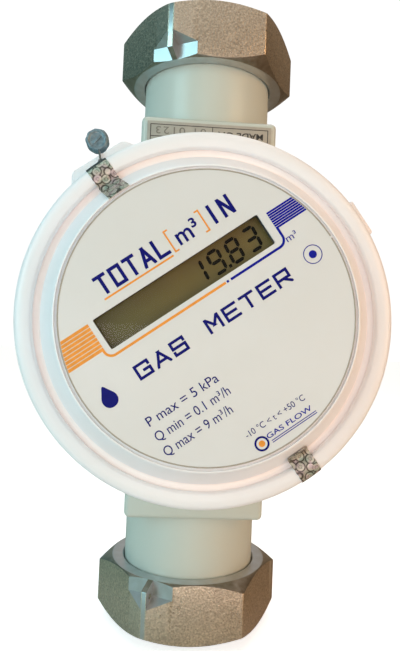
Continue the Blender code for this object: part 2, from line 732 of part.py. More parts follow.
def make_display(looks, dial):
    """The window pane, the panel behind it, the frame round the panel and its two contact strips."""
    pane = window_block(26.0, 6.4, LCD_FRONT + 0.2, CAP_INSIDE - FILM_GAP)
    solid("window_pane", pane, looks["clear_pane"], dial, False)
    panel = window_block(LCD_HALF_WIDTH, LCD_HALF_HEIGHT, LCD_BACK, LCD_FRONT)
    solid("lcd_panel", panel, looks["lcd_glass"], dial, False)
    shell = window_block(LCD_HALF_WIDTH + 2.0, LCD_HALF_HEIGHT + 2.0, BOARD_FRONT + GAP, LCD_FRONT - 0.1)
    frame = solid("lcd_frame", shell, looks["white_plastic"], dial, False)
    opening = window_block(LCD_HALF_WIDTH + GAP, LCD_HALF_HEIGHT + GAP, BOARD_BACK, LCD_FRONT + OVERRUN)
    combine(frame, "DIFFERENCE", opening, dial)
    half_length, half_width = LCD_HALF_WIDTH - 1.2, 0.9
    for name, shift in (("upper", STRIP_OFFSET), ("lower", -STRIP_OFFSET)):
        middle = WINDOW_RISE + shift
        strip = box(
            (-half_length, middle - half_width, BOARD_FRONT + GAP),
            (half_length, middle + half_width, LCD_BACK - GAP),
        )
        solid(f"lcd_contact_strip_{name}", strip, looks["seal_rubber"], dial, False)


def make_circuit_board(looks, dial):
    """The round board, cut off straight to clear the battery, with its screws and its processor."""
    round_board = disc(BOARD_RADIUS, BOARD_BACK, BOARD_FRONT, 32)
    board = solid("circuit_board", round_board, looks["board_green"], dial)
    reach = BOARD_RADIUS + OVERRUN
    away = box((-reach, -reach, BOARD_BACK - OVERRUN), (reach, BOARD_CUT, BOARD_FRONT + OVERRUN))
    combine(board, "DIFFERENCE", away, dial)
    drill(board, SCREW_HOLE, BOARD_BACK - OVERRUN, BOARD_FRONT + OVERRUN, POSTS, dial)
    for number, place in enumerate(POSTS, 1):
        machine_screw(f"board_screw_{number}", looks["zinc_steel"], dial, place, 8.0, BOARD_FRONT + 0.2)
    chip = box((-7.0, -10.5, BOARD_FRONT + 0.2), (7.0, -1.5, BOARD_FRONT + 1.8))
    solid("processor", chip, looks["jet_plastic"], dial, False)


def make_battery(looks, dial):
    half_length = BATTERY_LENGTH / 2
    nub_radius, nub_length = 2.5, 1.4
    cell = turned(
        [
            (0, -half_length),
            (BATTERY_RADIUS, -half_length),
            (BATTERY_RADIUS, half_length - nub_length),
            (nub_radius, half_length - nub_length),
            (nub_radius, half_length),
            (0, half_length),
        ],
        24,
    )
    place = (0, BATTERY_RISE, BATTERY_DEPTH)
    solid("battery", moved(cell, place, (0, 90, 0)), looks["battery_wrap"], dial)
    tray_half_length, tray_half_width, tray_top = half_length + 2.0, BATTERY_RADIUS + 1.35, 13.0
    tray = box(
        (-tray_half_length, BATTERY_RISE - tray_half_width, BASE_FLOOR + GAP),
        (tray_half_length, BATTERY_RISE + tray_half_width, tray_top),
    )
    holder = solid("battery_holder", tray, looks["jet_plastic"], dial, False)
    room = half_length + 0.7
    hollow = moved(disc(BATTERY_RADIUS + GAP, -room, room, 24), place, (0, 90, 0))
    combine(holder, "DIFFERENCE", hollow, dial)


def sticker(name, looks, dial, surface, angle):
    """A foil strip with parallel sides over a turned surface, which is given from its outer end inwards."""
    half_width, steps, gap, thickness = 3.0, 4, 0.08, 0.12
    directions = []
    for index in range(len(surface)):
        before = Vector(surface[max(index - 1, 0)])
        after = Vector(surface[min(index + 1, len(surface) - 1)])
        along = (after - before).normalized()
        directions.append(Vector((-along.y, along.x)))
    bm = bmesh.new()
    layers = []
    for offset in (gap, gap + thickness):
        rows = []
        for point, out in zip(surface, directions):
            radius, height = Vector(point) - out * offset
            row = []
            for step in range(steps + 1):
                across = half_width * (2 * step / steps - 1)
                row.append(bm.verts.new((across, math.sqrt(radius**2 - across**2), height)))
            rows.append(row)
        layers.append(rows)
    low, high = layers
    last = len(surface) - 1
    for i in range(last):
        for j in range(steps):
            bm.faces.new((low[i][j], low[i + 1][j], low[i + 1][j + 1], low[i][j + 1]))
            bm.faces.new((high[i][j], high[i][j + 1], high[i + 1][j + 1], high[i + 1][j]))
        for j in (0, steps):
            bm.faces.new((low[i][j], high[i][j], high[i + 1][j], low[i + 1][j]))
    for i in (0, last):
        for j in range(steps):
            bm.faces.new((low[i][j], low[i][j + 1], high[i][j + 1], high[i][j]))
    solid(name, moved(bm, (0, 0, 0), (0, 0, angle - 90)), looks["foil"], dial)


def make_stickers(looks, dial):
    """Two stickers from the bezel over the sunk band to the cap. The upper one reaches the cap's rim."""
    over_band = [(43.4, 21.0), (42.2, 21.3)]
    to_rim = [(39.9, 25.6), (38.5, 28.2), (37.75, 29.4), (37.2, 29.58)]
    to_wall = [(40.9, 23.6)]
    sticker("seal_sticker_upper", looks, dial, bezel_outer()[2:] + over_band + to_rim, 92.4)
    sticker("seal_sticker_lower", looks, dial, bezel_outer()[1:] + over_band + to_wall, -89.3)


# ---------------------------------------------------------------- lead seal and labels

SEAL_RADIUS = 3.1
SEAL_ARM = 6.7
SEAL_LEAN = 21.0
SEAL_DEPTH = 13.0
SEAL_HALF_THICKNESS = 1.7
WIRE_RADIUS = 0.3
DATE_LABEL_HALF_WIDTH = 18.6
DATE_LABEL_LOW = 44.0
DATE_LABEL_TOP = 57.9


def make_lead_seal(looks, hanger):
    """The seal on its wire loop. The hanger frame is on the wire hole's axis, with Y towards the seal."""
    section = [
        (0, -SEAL_HALF_THICKNESS),
        (SEAL_RADIUS - 0.5, -SEAL_HALF_THICKNESS),
        (SEAL_RADIUS, -SEAL_HALF_THICKNESS + 0.5),
        (SEAL_RADIUS, SEAL_HALF_THICKNESS - 0.5),
        (SEAL_RADIUS - 0.5, SEAL_HALF_THICKNESS),
        (0, SEAL_HALF_THICKNESS),
    ]
    disc_mesh = moved(turned(section, 16), (0, SEAL_ARM, SEAL_DEPTH))
    solid("lead_seal", disc_mesh, looks["lead"], hanger)

    seal_foot = SEAL_ARM - SEAL_RADIUS - GAP - 0.15
    middle = sum(LUG_DEPTH) / 2
    front_run = LUG_DEPTH[1] + 0.9
    leg = [
        (seal_foot, SEAL_DEPTH + 1.0),
        (2.9, front_run - 0.6),
        (1.6, front_run),
        (0.45, front_run - 0.1),
        (0, front_run - 0.9),
    ]
    other_leg = [(rise, 2 * middle - depth) for rise, depth in reversed(leg[1:])]
    other_leg.append((seal_foot, SEAL_DEPTH - 1.0))
    route = [(0, rise, depth) for rise, depth in leg + other_leg]
    curve = bpy.data.curves.new("seal_wire", "CURVE")
    curve.dimensions = "3D"
    curve.bevel_depth = WIRE_RADIUS * MM
    curve.bevel_resolution = 1
    curve.use_fill_caps = True
    line = curve.splines.new("POLY")
    line.points.add(len(route) - 1)
    for point, place in zip(line.points, route):
        point.co = (*(Vector(place) * MM), 1.0)
    curve.materials.append(looks["zinc_steel"])
    wire = bpy.data.objects.new("seal_wire", curve)
    wire.parent = hanger
    bpy.context.scene.collection.objects.link(wire)


def make_date_label(looks):
    """A plate on the block's front, above the head."""
    front = -BLOCK_HALF_DEPTH - FILM_GAP
    plate = box(
        (-DATE_LABEL_HALF_WIDTH, front - 0.4, DATE_LABEL_LOW),
        (DATE_LABEL_HALF_WIDTH, front, DATE_LABEL_TOP),
    )
    solid("date_label", plate, looks["label_grey"], None, False)


# ---------------------------------------------------------------- assembly

def main():
    clear_scene()
    looks = make_looks()
    head_place = (0, -BLOCK_HALF_DEPTH, -HEAD_DROP)
    front = frame_empty("front_frame", head_place, (90, 0, 0))
    dial = frame_empty("dial_frame", head_place, (90, -HEAD_TURN, 0))
    hanger = frame_empty("seal_frame", (*WIRE_HOLE, 0), (0, 0, -SEAL_LEAN))
    hanger.parent = dial

    make_body_casting(looks, front)
    make_chamber_gasket(looks, front)
    make_chamber_plate(looks, front)
    make_chamber_screws(looks, front)
    make_jet_module(looks, front)
    make_sensors(looks, front)
    make_inlet_strainer(looks)
    for side in (1, -1):
        make_snap_ring(looks, side)
        make_seal_washer(looks, side)
        make_union_nut(looks, side)

    make_head_base(looks, dial)
    make_swivel_parts(looks, dial, front)
    make_cover_gasket(looks, dial)
    make_bezel_ring(looks, dial)
    make_front_cap(looks, dial)
    make_dial_label(looks, dial)
    make_display(looks, dial)
    make_circuit_board(looks, dial)
    make_battery(looks, dial)
    make_stickers(looks, dial)
    make_lead_seal(looks, hanger)
    make_date_label(looks)


main()
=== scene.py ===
"""The jet gas meter's looks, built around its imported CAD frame.

Lengths are in millimetres, and become metres where a mesh or a place is made.
World: +Z runs up the pipe, the dial faces -Y and +X is to the reader's right.
Dial frame: X along the dial's text, Y up it, Z out of the dial, with Z = 0 on the body's front face.
"""

import json
import math

import bmesh
import bpy
from mathutils import Matrix, Vector, noise


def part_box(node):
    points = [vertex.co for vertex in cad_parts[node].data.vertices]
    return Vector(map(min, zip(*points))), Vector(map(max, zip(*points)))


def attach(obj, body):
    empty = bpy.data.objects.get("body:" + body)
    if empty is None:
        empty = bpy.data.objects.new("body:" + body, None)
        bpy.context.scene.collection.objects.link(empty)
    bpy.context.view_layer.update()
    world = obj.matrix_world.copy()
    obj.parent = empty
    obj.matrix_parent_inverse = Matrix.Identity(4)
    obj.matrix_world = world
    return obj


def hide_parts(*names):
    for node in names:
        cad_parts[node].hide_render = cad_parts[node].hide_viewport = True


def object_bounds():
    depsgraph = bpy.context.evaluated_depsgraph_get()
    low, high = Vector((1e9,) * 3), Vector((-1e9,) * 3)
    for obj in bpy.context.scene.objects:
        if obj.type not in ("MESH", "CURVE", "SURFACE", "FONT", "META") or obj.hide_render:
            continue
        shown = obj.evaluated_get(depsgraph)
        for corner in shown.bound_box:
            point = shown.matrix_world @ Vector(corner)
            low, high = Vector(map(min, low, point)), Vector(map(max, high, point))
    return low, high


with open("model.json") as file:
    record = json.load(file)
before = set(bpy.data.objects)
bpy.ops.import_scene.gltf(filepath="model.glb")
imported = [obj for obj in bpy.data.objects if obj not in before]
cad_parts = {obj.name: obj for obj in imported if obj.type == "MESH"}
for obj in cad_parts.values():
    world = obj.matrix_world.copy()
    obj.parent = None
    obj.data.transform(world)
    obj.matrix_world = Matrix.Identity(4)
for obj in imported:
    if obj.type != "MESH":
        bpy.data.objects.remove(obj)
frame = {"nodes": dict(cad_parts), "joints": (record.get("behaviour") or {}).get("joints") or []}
CAD_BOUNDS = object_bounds()

MM = 0.001


def cad_box(node):
    low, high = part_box(node)
    return low / MM, high / MM


JOINTS = {joint["name"]: joint for joint in frame["joints"]}
SIDE_NAME = {1: "upper", -1: "lower"}

# Body, as in the CAD
BODY_LOW, BODY_HIGH = cad_box("body_casting")
NECK_RADIUS = BODY_HIGH.x
NECK_END = BODY_HIGH.z
BLOCK_HALF_WIDTH = NECK_RADIUS - 0.6
BLOCK_HALF_DEPTH = -BODY_LOW.y
BLOCK_HALF_HEIGHT = 59.7
GAS_BORE_RADIUS = 13.0

# Union nuts, as in the CAD
NUT_LOW, NUT_HIGH = cad_box("upper_union_nut")
NUT_INNER_FACE = NUT_LOW.z
NUT_HEIGHT = NUT_HIGH.z - NUT_LOW.z
NUT_ACROSS_FLATS = 50.7
NUT_CORNER = NUT_ACROSS_FLATS / math.sqrt(3)
NUT_CHAMFER_CIRCLE = 24.9
NUT_TURN = {1: 3.1, -1: 2.1}
SEAL_CORNER = 4
SEAL_CORNER_FLAT = 0.55
SEAL_RIDGE_HALF = 0.85

# Head, as in the CAD
HEAD_AXIS = Vector(JOINTS["head_swivel"]["pos_m"]) / MM
WIRE_AXIS = Vector(JOINTS["seal_swing"]["pos_m"]) / MM
HEAD_TURN = math.degrees(math.atan2(HEAD_AXIS.x - WIRE_AXIS.x, WIRE_AXIS.z - HEAD_AXIS.z))
DIAL = Matrix.Translation(HEAD_AXIS) @ Matrix.Rotation(math.radians(90), 4, "X")
DIAL = DIAL @ Matrix.Rotation(math.radians(HEAD_TURN), 4, "Z")
FRONT = Matrix.Translation(HEAD_AXIS) @ Matrix.Rotation(math.radians(90), 4, "X")
FACE_DEPTH = 29.8
LABEL_RADIUS = 36.2
CAP_TOP = 29.4
CAP_INSIDE = 27.8
WINDOW_HALF_WIDTH = 23.75
WINDOW_HALF_HEIGHT = 4.2
WINDOW_RISE = 10.4
LCD_FRONT = 26.6

WHOLE = Matrix.Identity(4)
MOST_LOOKS = 3
INK_GAP = 0.012
INK_THICKNESS = 0.03
FINE_SEGMENTS = 144
PIPE_SEGMENTS = 112


# ---------------------------------------------------------------- materials

def set_stops(ramp, stops):
    """Gives a colour ramp its (position, colour) stops."""
    while len(ramp.elements) < len(stops):
        ramp.elements.new(0.5)
    for element, (position, colour) in zip(ramp.elements, stops):
        element.position = position
        element.color = (*colour, 1.0)


class Look:
    """A Principled material whose textures are measured in millimetres in the object's own space."""

    def __init__(self, name, colour, roughness, metallic=0.0, **sockets):
        self.material = bpy.data.materials.new(name)
        self.material.use_nodes = True
        self.tree = self.material.node_tree
        self.shader = self.tree.nodes["Principled BSDF"]
        self.colour = colour
        self.roughness = roughness
        self.normal = None
        self.shader.inputs["Base Color"].default_value = (*colour, 1.0)
        self.shader.inputs["Roughness"].default_value = roughness
        self.shader.inputs["Metallic"].default_value = metallic
        for socket, value in sockets.items():
            self.shader.inputs[socket.replace("_", " ")].default_value = value
        place = self.node("ShaderNodeTexCoord")
        scale = self.node("ShaderNodeVectorMath", operation="SCALE")
        scale.inputs["Scale"].default_value = 1 / MM
        self.link(place.outputs["Object"], scale.inputs[0])
        self.place = scale.outputs[0]

    def node(self, kind, **settings):
        made = self.tree.nodes.new(kind)
        for name, value in settings.items():
            setattr(made, name, value)
        return made

    def link(self, source, target):
        self.tree.links.new(source, target)

    def noise(self, size, detail=3.0, stretch=(1, 1, 1), distortion=0.0):
        """Noise whose features are about size millimetres across."""
        mapping = self.node("ShaderNodeMapping")
        mapping.inputs["Scale"].default_value = [factor / size for factor in stretch]
        self.link(self.place, mapping.inputs["Vector"])
        made = self.node("ShaderNodeTexNoise")
        made.inputs["Scale"].default_value = 1.0
        made.inputs["Detail"].default_value = detail
        made.inputs["Distortion"].default_value = distortion
        self.link(mapping.outputs[0], made.inputs["Vector"])
        return made.outputs["Fac"]

    def cells(self, size, randomness=1.0):
        """The distance from the nearest of many points, which are about size millimetres apart."""
        made = self.node("ShaderNodeTexVoronoi")
        made.inputs["Scale"].default_value = 1 / size
        made.inputs["Randomness"].default_value = randomness
        self.link(self.place, made.inputs["Vector"])
        return made.outputs["Distance"]

    def ramp(self, source, stops):
        """A colour ramp from (position, colour) stops."""
        made = self.node("ShaderNodeValToRGB")
        set_stops(made.color_ramp, stops)
        self.link(source, made.inputs["Fac"])
        return made.outputs["Color"]

    def graded(self, low, high, stops):
        """A colour ramp along X, from low to high millimetres."""
        split = self.node("ShaderNodeSeparateXYZ")
        self.link(self.place, split.inputs[0])
        across = self.node("ShaderNodeMapRange")
        across.inputs["From Min"].default_value = low
        across.inputs["From Max"].default_value = high
        self.link(split.outputs["X"], across.inputs["Value"])
        return self.ramp(across.outputs[0], stops)

    def mixed(self, share, one, two, blend="MIX"):
        """Two colours mixed. Each of the three may be a plain value or the socket that gives it."""
        made = self.node("ShaderNodeMix", data_type="RGBA", blend_type=blend)
        for socket, value in ((0, share), (6, one), (7, two)):
            if isinstance(value, (int, float)):
                made.inputs[socket].default_value = value
            elif isinstance(value, tuple):
                made.inputs[socket].default_value = (*value, 1.0)
            else:
                self.link(value, made.inputs[socket])
        return made.outputs[2]

    def paint(self, colour):
        """Makes the colour that leaves that socket the base colour."""
        self.base = colour
        self.link(colour, self.shader.inputs["Base Color"])
        return self

    def mottle(self, size, spread, detail=3.0, tint=(1, 1, 1)):
        """Varies the colour between a darker shade, tinted, and a lighter one."""
        dark = tuple(value * (1 - spread) * shade for value, shade in zip(self.colour, tint))
        light = tuple(min(1.0, value * (1 + spread)) for value in self.colour)
        return self.paint(self.ramp(self.noise(size, detail), [(0.3, dark), (0.7, light)]))

    def over(self, share, colour):
        """Lays a second colour over the base where share is high."""
        return self.paint(self.mixed(share, self.base, colour))

    def show(self, shader):
        """Makes that shader the surface, in place of the Principled one."""
        self.link(shader.outputs[0], self.tree.nodes["Material Output"].inputs["Surface"])
        return self

    def smudge(self, size, spread, detail=4.0):
        """Varies the roughness."""
        reach = self.node("ShaderNodeMapRange")
        reach.inputs["From Min"].default_value = 0.3
        reach.inputs["From Max"].default_value = 0.7
        reach.inputs["To Min"].default_value = max(0.02, self.roughness - spread)
        reach.inputs["To Max"].default_value = min(1.0, self.roughness + spread)
        self.link(self.noise(size, detail), reach.inputs["Value"])
        self.link(reach.outputs[0], self.shader.inputs["Roughness"])
        return self

    def bump(self, source, height, strength=1.0):
        """Adds relief of height millimetres."""
        made = self.node("ShaderNodeBump")
        made.inputs["Distance"].default_value = height * MM
        made.inputs["Strength"].default_value = strength
        self.link(source, made.inputs["Height"])
        if self.normal is not None:
            self.link(self.normal, made.inputs["Normal"])
        self.normal = made.outputs["Normal"]
        self.link(self.normal, self.shader.inputs["Normal"])
        return self

    def finish(self, mottle, smudge, grain, height, strength=1.0, tint=(1, 1, 1)):
        """Mottled colour, smudged roughness and relief from noise, each given with its size first."""
        self.mottle(*mottle, tint=tint).smudge(*smudge)
        return self.bump(self.noise(*grain), height, strength)

    def edges(self, low, high):
        """1 on convex edges and 0 elsewhere, on a finely divided mesh."""
        geometry = self.node("ShaderNodeNewGeometry")
        return self.ramp(geometry.outputs["Pointiness"], [(low, (0, 0, 0)), (high, (1, 1, 1))])


def painted_cast():
    look = Look("painted_cast", (0.57, 0.61, 0.56), 0.32, Coat_Weight=0.12, Coat_Roughness=0.12)
    return look.finish((30.0, 0.010, 2.0), (12.0, 0.03, 2.0), (16.0, 1.0), 0.02, tint=(1.0, 0.995, 0.98))


def moulded_white(name, colour, roughness, **sockets):
    look = Look(name, colour, roughness, **sockets)
    return look.finish((30.0, 0.010, 2.0), (14.0, 0.03, 2.0), (20.0, 1.0), 0.012, tint=(1.0, 1.0, 0.985))


def blasted_nickel():
    """Shot-blasted faces: a bright metal broken up into grains, with darker patches and rubbed corners."""
    look = Look("blasted_nickel", (0.56, 0.48, 0.38), 0.38, 1.0)
    look.mottle(0.55, 0.34, 4.0, tint=(0.92, 0.88, 0.84))
    patches = look.ramp(look.noise(7.0, 3.0), [(0.42, (0, 0, 0)), (0.75, (0.25, 0.25, 0.25))])
    look.over(patches, (0.38, 0.33, 0.27))
    look.over(look.edges(0.515, 0.58), (0.78, 0.73, 0.64))
    look.smudge(0.9, 0.14)
    look.bump(look.noise(0.62, 2.0), 0.16, 0.9)
    look.bump(look.noise(0.22, 1.0), 0.04, 0.7)
    return look


def machined_nickel():
    """Turned and milled faces: smooth and barely uneven."""
    look = Look("machined_nickel", (0.56, 0.58, 0.60), 0.32, 1.0)
    return look.finish((3.0, 0.04), (3.0, 0.03), (1.2, 2.0), 0.001, 0.4, tint=(0.95, 0.93, 0.9))


def shaded_chamfer_nickel():
    """The nuts' chamfers: darker than the milled faces with painted shade, and more mottled."""
    look = Look("shaded_chamfer_nickel", (0.36, 0.32, 0.27), 0.34, 1.0)
    return look.finish((1.5, 0.12), (3.0, 0.04), (0.8, 2.0), 0.002, 0.5, tint=(0.95, 0.92, 0.88))


def bare_steel(name, colour, roughness, metallic=1.0):
    look = Look(name, colour, roughness, metallic)
    return look.finish((1.6, 0.12), (0.8, 0.1), (0.3, 3.0), 0.01, tint=(1.0, 0.97, 0.92))


def printed_film(name, colour, roughness):
    look = Look(name, colour, roughness, Coat_Weight=0.15, Coat_Roughness=0.2)
    return look.finish((26.0, 0.014), (4.0, 0.05), (0.2, 2.0), 0.004, tint=(1.0, 0.995, 0.98))


def ink(name, colour, **sockets):
    look = Look(name, colour, 0.42, **sockets)
    return look.finish((1.4, 0.09, 4.0), (1.0, 0.06), (0.15, 2.0), 0.004)


def display_film():
    """The reflective display: olive, with painted light that makes it brighter towards the dial's right."""
    look = Look("display_film", (0.19, 0.15, 0.055), 0.35)
    # Painted light: darker at the dial's left, brighter and warmer at its right.
    olives_painted_light = [
        (0.0, (0.115, 0.105, 0.022)),
        (0.45, (0.18, 0.125, 0.025)),
        (0.8, (0.175, 0.12, 0.03)),
        (1.0, (0.23, 0.16, 0.05)),
    ]
    grain = look.ramp(look.noise(1.2, 3.0), [(0.3, (0.96, 0.96, 0.96)), (0.7, (1.0, 1.0, 1.0))])
    look.paint(look.mixed(1.0, look.graded(-26.0, 14.0, olives_painted_light), grain, "MULTIPLY"))
    look.smudge(2.0, 0.05)
    look.bump(look.noise(0.2, 1.0), 0.001)
    return look


def clear_pane():
    """A thin clear window that mirrors a little and lets the rest through."""
    look = Look("clear_pane", (0.9, 0.93, 0.92), 0.04)
    look.mottle(8.0, 0.01).smudge(5.0, 0.015)
    through = look.node("ShaderNodeBsdfTransparent")
    through.inputs["Color"].default_value = (0.95, 0.96, 0.94, 1.0)
    fresnel = look.node("ShaderNodeFresnel")
    fresnel.inputs["IOR"].default_value = 1.15
    look.shader.inputs["Metallic"].default_value = 1.0
    mix = look.node("ShaderNodeMixShader")
    look.link(fresnel.outputs[0], mix.inputs[0])
    look.link(through.outputs[0], mix.inputs[1])
    look.link(look.shader.outputs[0], mix.inputs[2])
    return look.show(mix)


def seal_foil():
    """A metallised seal: circles in dark outlines on a light ground that wanders from green to rose."""
    look = Look("seal_foil", (0.55, 0.53, 0.47), 0.3, 0.3)
    tint = look.ramp(
        look.noise(2.4, 1.0, distortion=0.6),
        [(0.36, (0.42, 0.49, 0.42)), (0.5, (0.60, 0.56, 0.48)), (0.64, (0.54, 0.44, 0.46))],
    )
    inner_outline = [
        (0.0, (1.0, 1.0, 1.0)),
        (0.16, (0.9, 0.9, 0.9)),
        (0.20, (0.35, 0.34, 0.33)),
        (0.25, (1.0, 1.0, 1.0)),
    ]
    outer_outline = [
        (0.42, (0.95, 0.95, 0.95)),
        (0.48, (0.14, 0.13, 0.12)),
        (0.55, (0.12, 0.11, 0.10)),
        (0.62, (0.75, 0.74, 0.72)),
    ]
    circles = look.ramp(look.cells(2.3, 0.45), inner_outline + outer_outline)
    look.paint(look.mixed(1.0, tint, circles, "MULTIPLY"))
    look.smudge(0.7, 0.1)
    look.bump(look.cells(2.3, 0.45), 0.02)
    return look


def pressed_lead():
    look = Look("pressed_lead", (0.20, 0.27, 0.31), 0.5, 0.6)
    look.mottle(1.1, 0.3, 4.0, tint=(0.85, 0.95, 1.0)).smudge(0.6, 0.12)
    look.over(look.edges(0.52, 0.6), (0.34, 0.37, 0.40))
    look.bump(look.noise(0.7, 3.0), 0.08, 0.8)
    return look


def brushed_plate():
    """The date plate's film, with a fine brushed grain along it."""
    look = Look("brushed_plate", (0.43, 0.40, 0.345), 0.38, 0.15)
    along = (0.05, 1, 1)
    return look.finish((3.0, 0.07), (1.5, 0.08), (0.25, 3.0, along), 0.012, 0.6, tint=(0.97, 0.98, 1.0))


def band_with_painted_light():
    """The floor of the groove round the cap, with painted light: a pinkish painted reflection in its colour
    and a faint glow that lifts it out of shade.
    """
    # Painted light: a faint pinkish glow, though the band is no lamp.
    glow = {"Emission_Color": (1.0, 0.80, 0.76, 1.0), "Emission_Strength": 0.14}
    return moulded_white("band_painted_glow", (0.90, 0.84, 0.82), 0.4, **glow)


def make_looks():
    rubber = Look("black_rubber", (0.028, 0.028, 0.03), 0.62)
    fibre = Look("fibre_sheet", (0.10, 0.16, 0.12), 0.75)
    dark = Look("dark_moulding", (0.05, 0.05, 0.055), 0.42)
    board = Look("board_mask", (0.02, 0.16, 0.06), 0.35, Coat_Weight=0.4)
    wrap = Look("shrink_wrap", (0.04, 0.10, 0.34), 0.3)
    return {
        "cast": painted_cast(),
        "white": moulded_white("moulded_white", (0.87, 0.86, 0.89), 0.34),
        "inner_white": moulded_white("moulded_white_inner", (0.80, 0.80, 0.76), 0.4),
        "blasted": blasted_nickel(),
        "machined": machined_nickel(),
        "chamfer": shaded_chamfer_nickel(),
        "spring": bare_steel("spring_steel", (0.40, 0.40, 0.41), 0.32),
        "zinc": bare_steel("zinc_plate", (0.60, 0.60, 0.57), 0.3),
        "wire": bare_steel("seal_wire_steel", (0.16, 0.17, 0.17), 0.4, 0.8),
        "brass": bare_steel("bare_brass", (0.66, 0.50, 0.22), 0.28),
        "rubber": rubber.finish((1.2, 0.25), (0.9, 0.1), (0.25, 2.0), 0.02),
        "fibre": fibre.finish((0.5, 0.3, 5.0), (1.0, 0.08), (0.3, 4.0, (1, 1, 0.3)), 0.05),
        "dark": dark.finish((6.0, 0.15), (2.0, 0.08), (0.3, 2.0), 0.015),
        "band": band_with_painted_light(),
        "film": printed_film("dial_film", (0.69, 0.70, 0.705), 0.4),
        "navy": ink("ink_navy", (0.004, 0.006, 0.16), Specular_IOR_Level=0.1),
        "blue": ink("ink_blue", (0.006, 0.012, 0.30), Specular_IOR_Level=0.1),
        "orange": ink("ink_orange", (0.82, 0.31, 0.045), Specular_IOR_Level=0.2),
        "grey_ink": ink("ink_grey", (0.06, 0.055, 0.05)),
        "faint_ink": ink("ink_faint", (0.20, 0.19, 0.165)),
        # Grey for the painted shadow along the dial film's edge.
        "shadow_ink": ink("ink_painted_shadow", (0.36, 0.33, 0.28)),
        "segment": ink("display_segment", (0.006, 0.005, 0.004), Specular_IOR_Level=0.1),
        "display": display_film(),
        "pane": clear_pane(),
        "board": board.finish((5.0, 0.2), (2.0, 0.08), (1.0, 2.0), 0.03),
        "wrap": wrap.finish((7.0, 0.12), (2.0, 0.08), (2.5, 3.0, (1, 0.3, 1)), 0.05),
        "foil": seal_foil(),
        "foil_painted_shade": ink("foil_painted_shade", (0.02, 0.03, 0.03)),
        "lead": pressed_lead(),
        "plate": brushed_plate(),
    }


# ---------------------------------------------------------------- mesh tools

def mesh_from(bm, name="scratch"):
    """A Blender mesh from a bmesh, which is used up."""
    mesh = bpy.data.meshes.new(name)
    bm.to_mesh(mesh)
    bm.free()
    return mesh


def in_scene(data, name="scratch"):
    """A new object in the scene, with that data."""
    made = bpy.data.objects.new(name, data)
    bpy.context.scene.collection.objects.link(made)
    return made


def piece(name, bm, looks, body, replaces=(), place=WHOLE, sharp=32.0):
    """An object from a bmesh in millimetres, which rides on a CAD body and may stand for CAD nodes."""
    bm.transform(Matrix.Scale(MM, 4) @ place)
    bmesh.ops.recalc_face_normals(bm, faces=bm.faces)
    mesh = mesh_from(bm, name)
    mesh.shade_smooth()
    mesh.set_sharp_from_angle(angle=math.radians(sharp))
    for look in looks:
        mesh.materials.append(look.material)
    made = in_scene(mesh, name)
    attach(made, body)
    if replaces:
        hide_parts(*replaces)
    return made


def scratch_object(bm):
    """A helper for a Boolean, with empty slots so that its faces keep their material numbers."""
    mesh = mesh_from(bm)
    for _ in range(MOST_LOOKS):
        mesh.materials.append(None)
    return in_scene(mesh)


def combined(bm, tool, operation="DIFFERENCE"):
    """The closed mesh bm with the closed mesh tool cut from it, or joined to it. Both are used up."""
    for each in (bm, tool):
        bmesh.ops.recalc_face_normals(each, faces=each.faces)
    base, cutter = scratch_object(bm), scratch_object(tool)
    modifier = base.modifiers.new("combine", "BOOLEAN")
    modifier.operation = operation
    modifier.solver = "EXACT"
    modifier.object = cutter
    graph = bpy.context.evaluated_depsgraph_get()
    result = bmesh.new()
    result.from_mesh(base.evaluated_get(graph).to_mesh())
    for made in (base, cutter):
        mesh = made.data
        bpy.data.objects.remove(made)
        bpy.data.meshes.remove(mesh)
    return result


def gathered(shapes):
    """One mesh from several, unmerged where they touch. They are used up."""
    whole = bmesh.new()
    for shape in shapes:
        mesh = mesh_from(shape)
        whole.from_mesh(mesh)
        bpy.data.meshes.remove(mesh)
    return whole


def polar(radius, angle):
    return radius * math.cos(math.radians(angle)), radius * math.sin(math.radians(angle))


def shifted(bm, place, turn=(0, 0, 0)):
    matrix = Matrix.Translation(place)
    for axis, angle in zip("XYZ", turn):
        matrix = matrix @ Matrix.Rotation(math.radians(angle), 4, axis)
    bm.transform(matrix)
    return bm


def box(low, high):
    bm = bmesh.new()
    bmesh.ops.create_cube(bm, size=1.0)
    for vert in bm.verts:
        vert.co = Vector([low[axis] if vert.co[axis] < 0 else high[axis] for axis in range(3)])
    return bm


def softened(bm, width, segments=3, upright_only=False):
    """Rounds every edge, or only those that run along Z."""
    edges = list(bm.edges)
    if upright_only:
        edges = [edge for edge in edges if abs((edge.verts[0].co - edge.verts[1].co).normalized().z) > 0.999]
    bmesh.ops.bevel(bm, geom=edges, offset=width, segments=segments, affect="EDGES", profile=0.5)
    return bm


def prism(outline, low, high):
    """A polygon in X and Y, extruded along Z."""
    bm = bmesh.new()
    face = bm.faces.new([bm.verts.new((x, y, low)) for x, y in outline])
    raised = bmesh.ops.extrude_face_region(bm, geom=[face])
    verts = [item for item in raised["geom"] if isinstance(item, bmesh.types.BMVert)]
    bmesh.ops.translate(bm, vec=(0, 0, high - low), verts=verts)
    return bm


def disc(radius, low, high, segments=32, phase=4.0):
    return prism([polar(radius, phase + 360 * step / segments) for step in range(segments)], low, high)


def lofted(rings, whole=True):
    """Quads between successive rings of points. Unless whole, it has a face at each end."""
    bm = bmesh.new()
    verts = [[bm.verts.new(point) for point in ring] for ring in rings]
    for one, two in zip(verts, verts[1:] + (verts[:1] if whole else [])):
        for i in range(len(one)):
            j = (i + 1) % len(one)
            bm.faces.new((one[i], one[j], two[j], two[i]))
    if not whole:
        bm.faces.new(verts[0])
        bm.faces.new(verts[-1])
    return bm


def turned(section, segments=FINE_SEGMENTS, start=0.0, sweep=360.0):
    """A closed section of (radius, height) points, clear of the axis, turned about Z."""
    whole = sweep >= 360.0
    count = segments if whole else segments + 1
    rings = []
    for step in range(count):
        turn = start + sweep * step / segments
        rings.append([(*polar(radius, turn), height) for radius, height in section])
    return lofted(rings, whole)


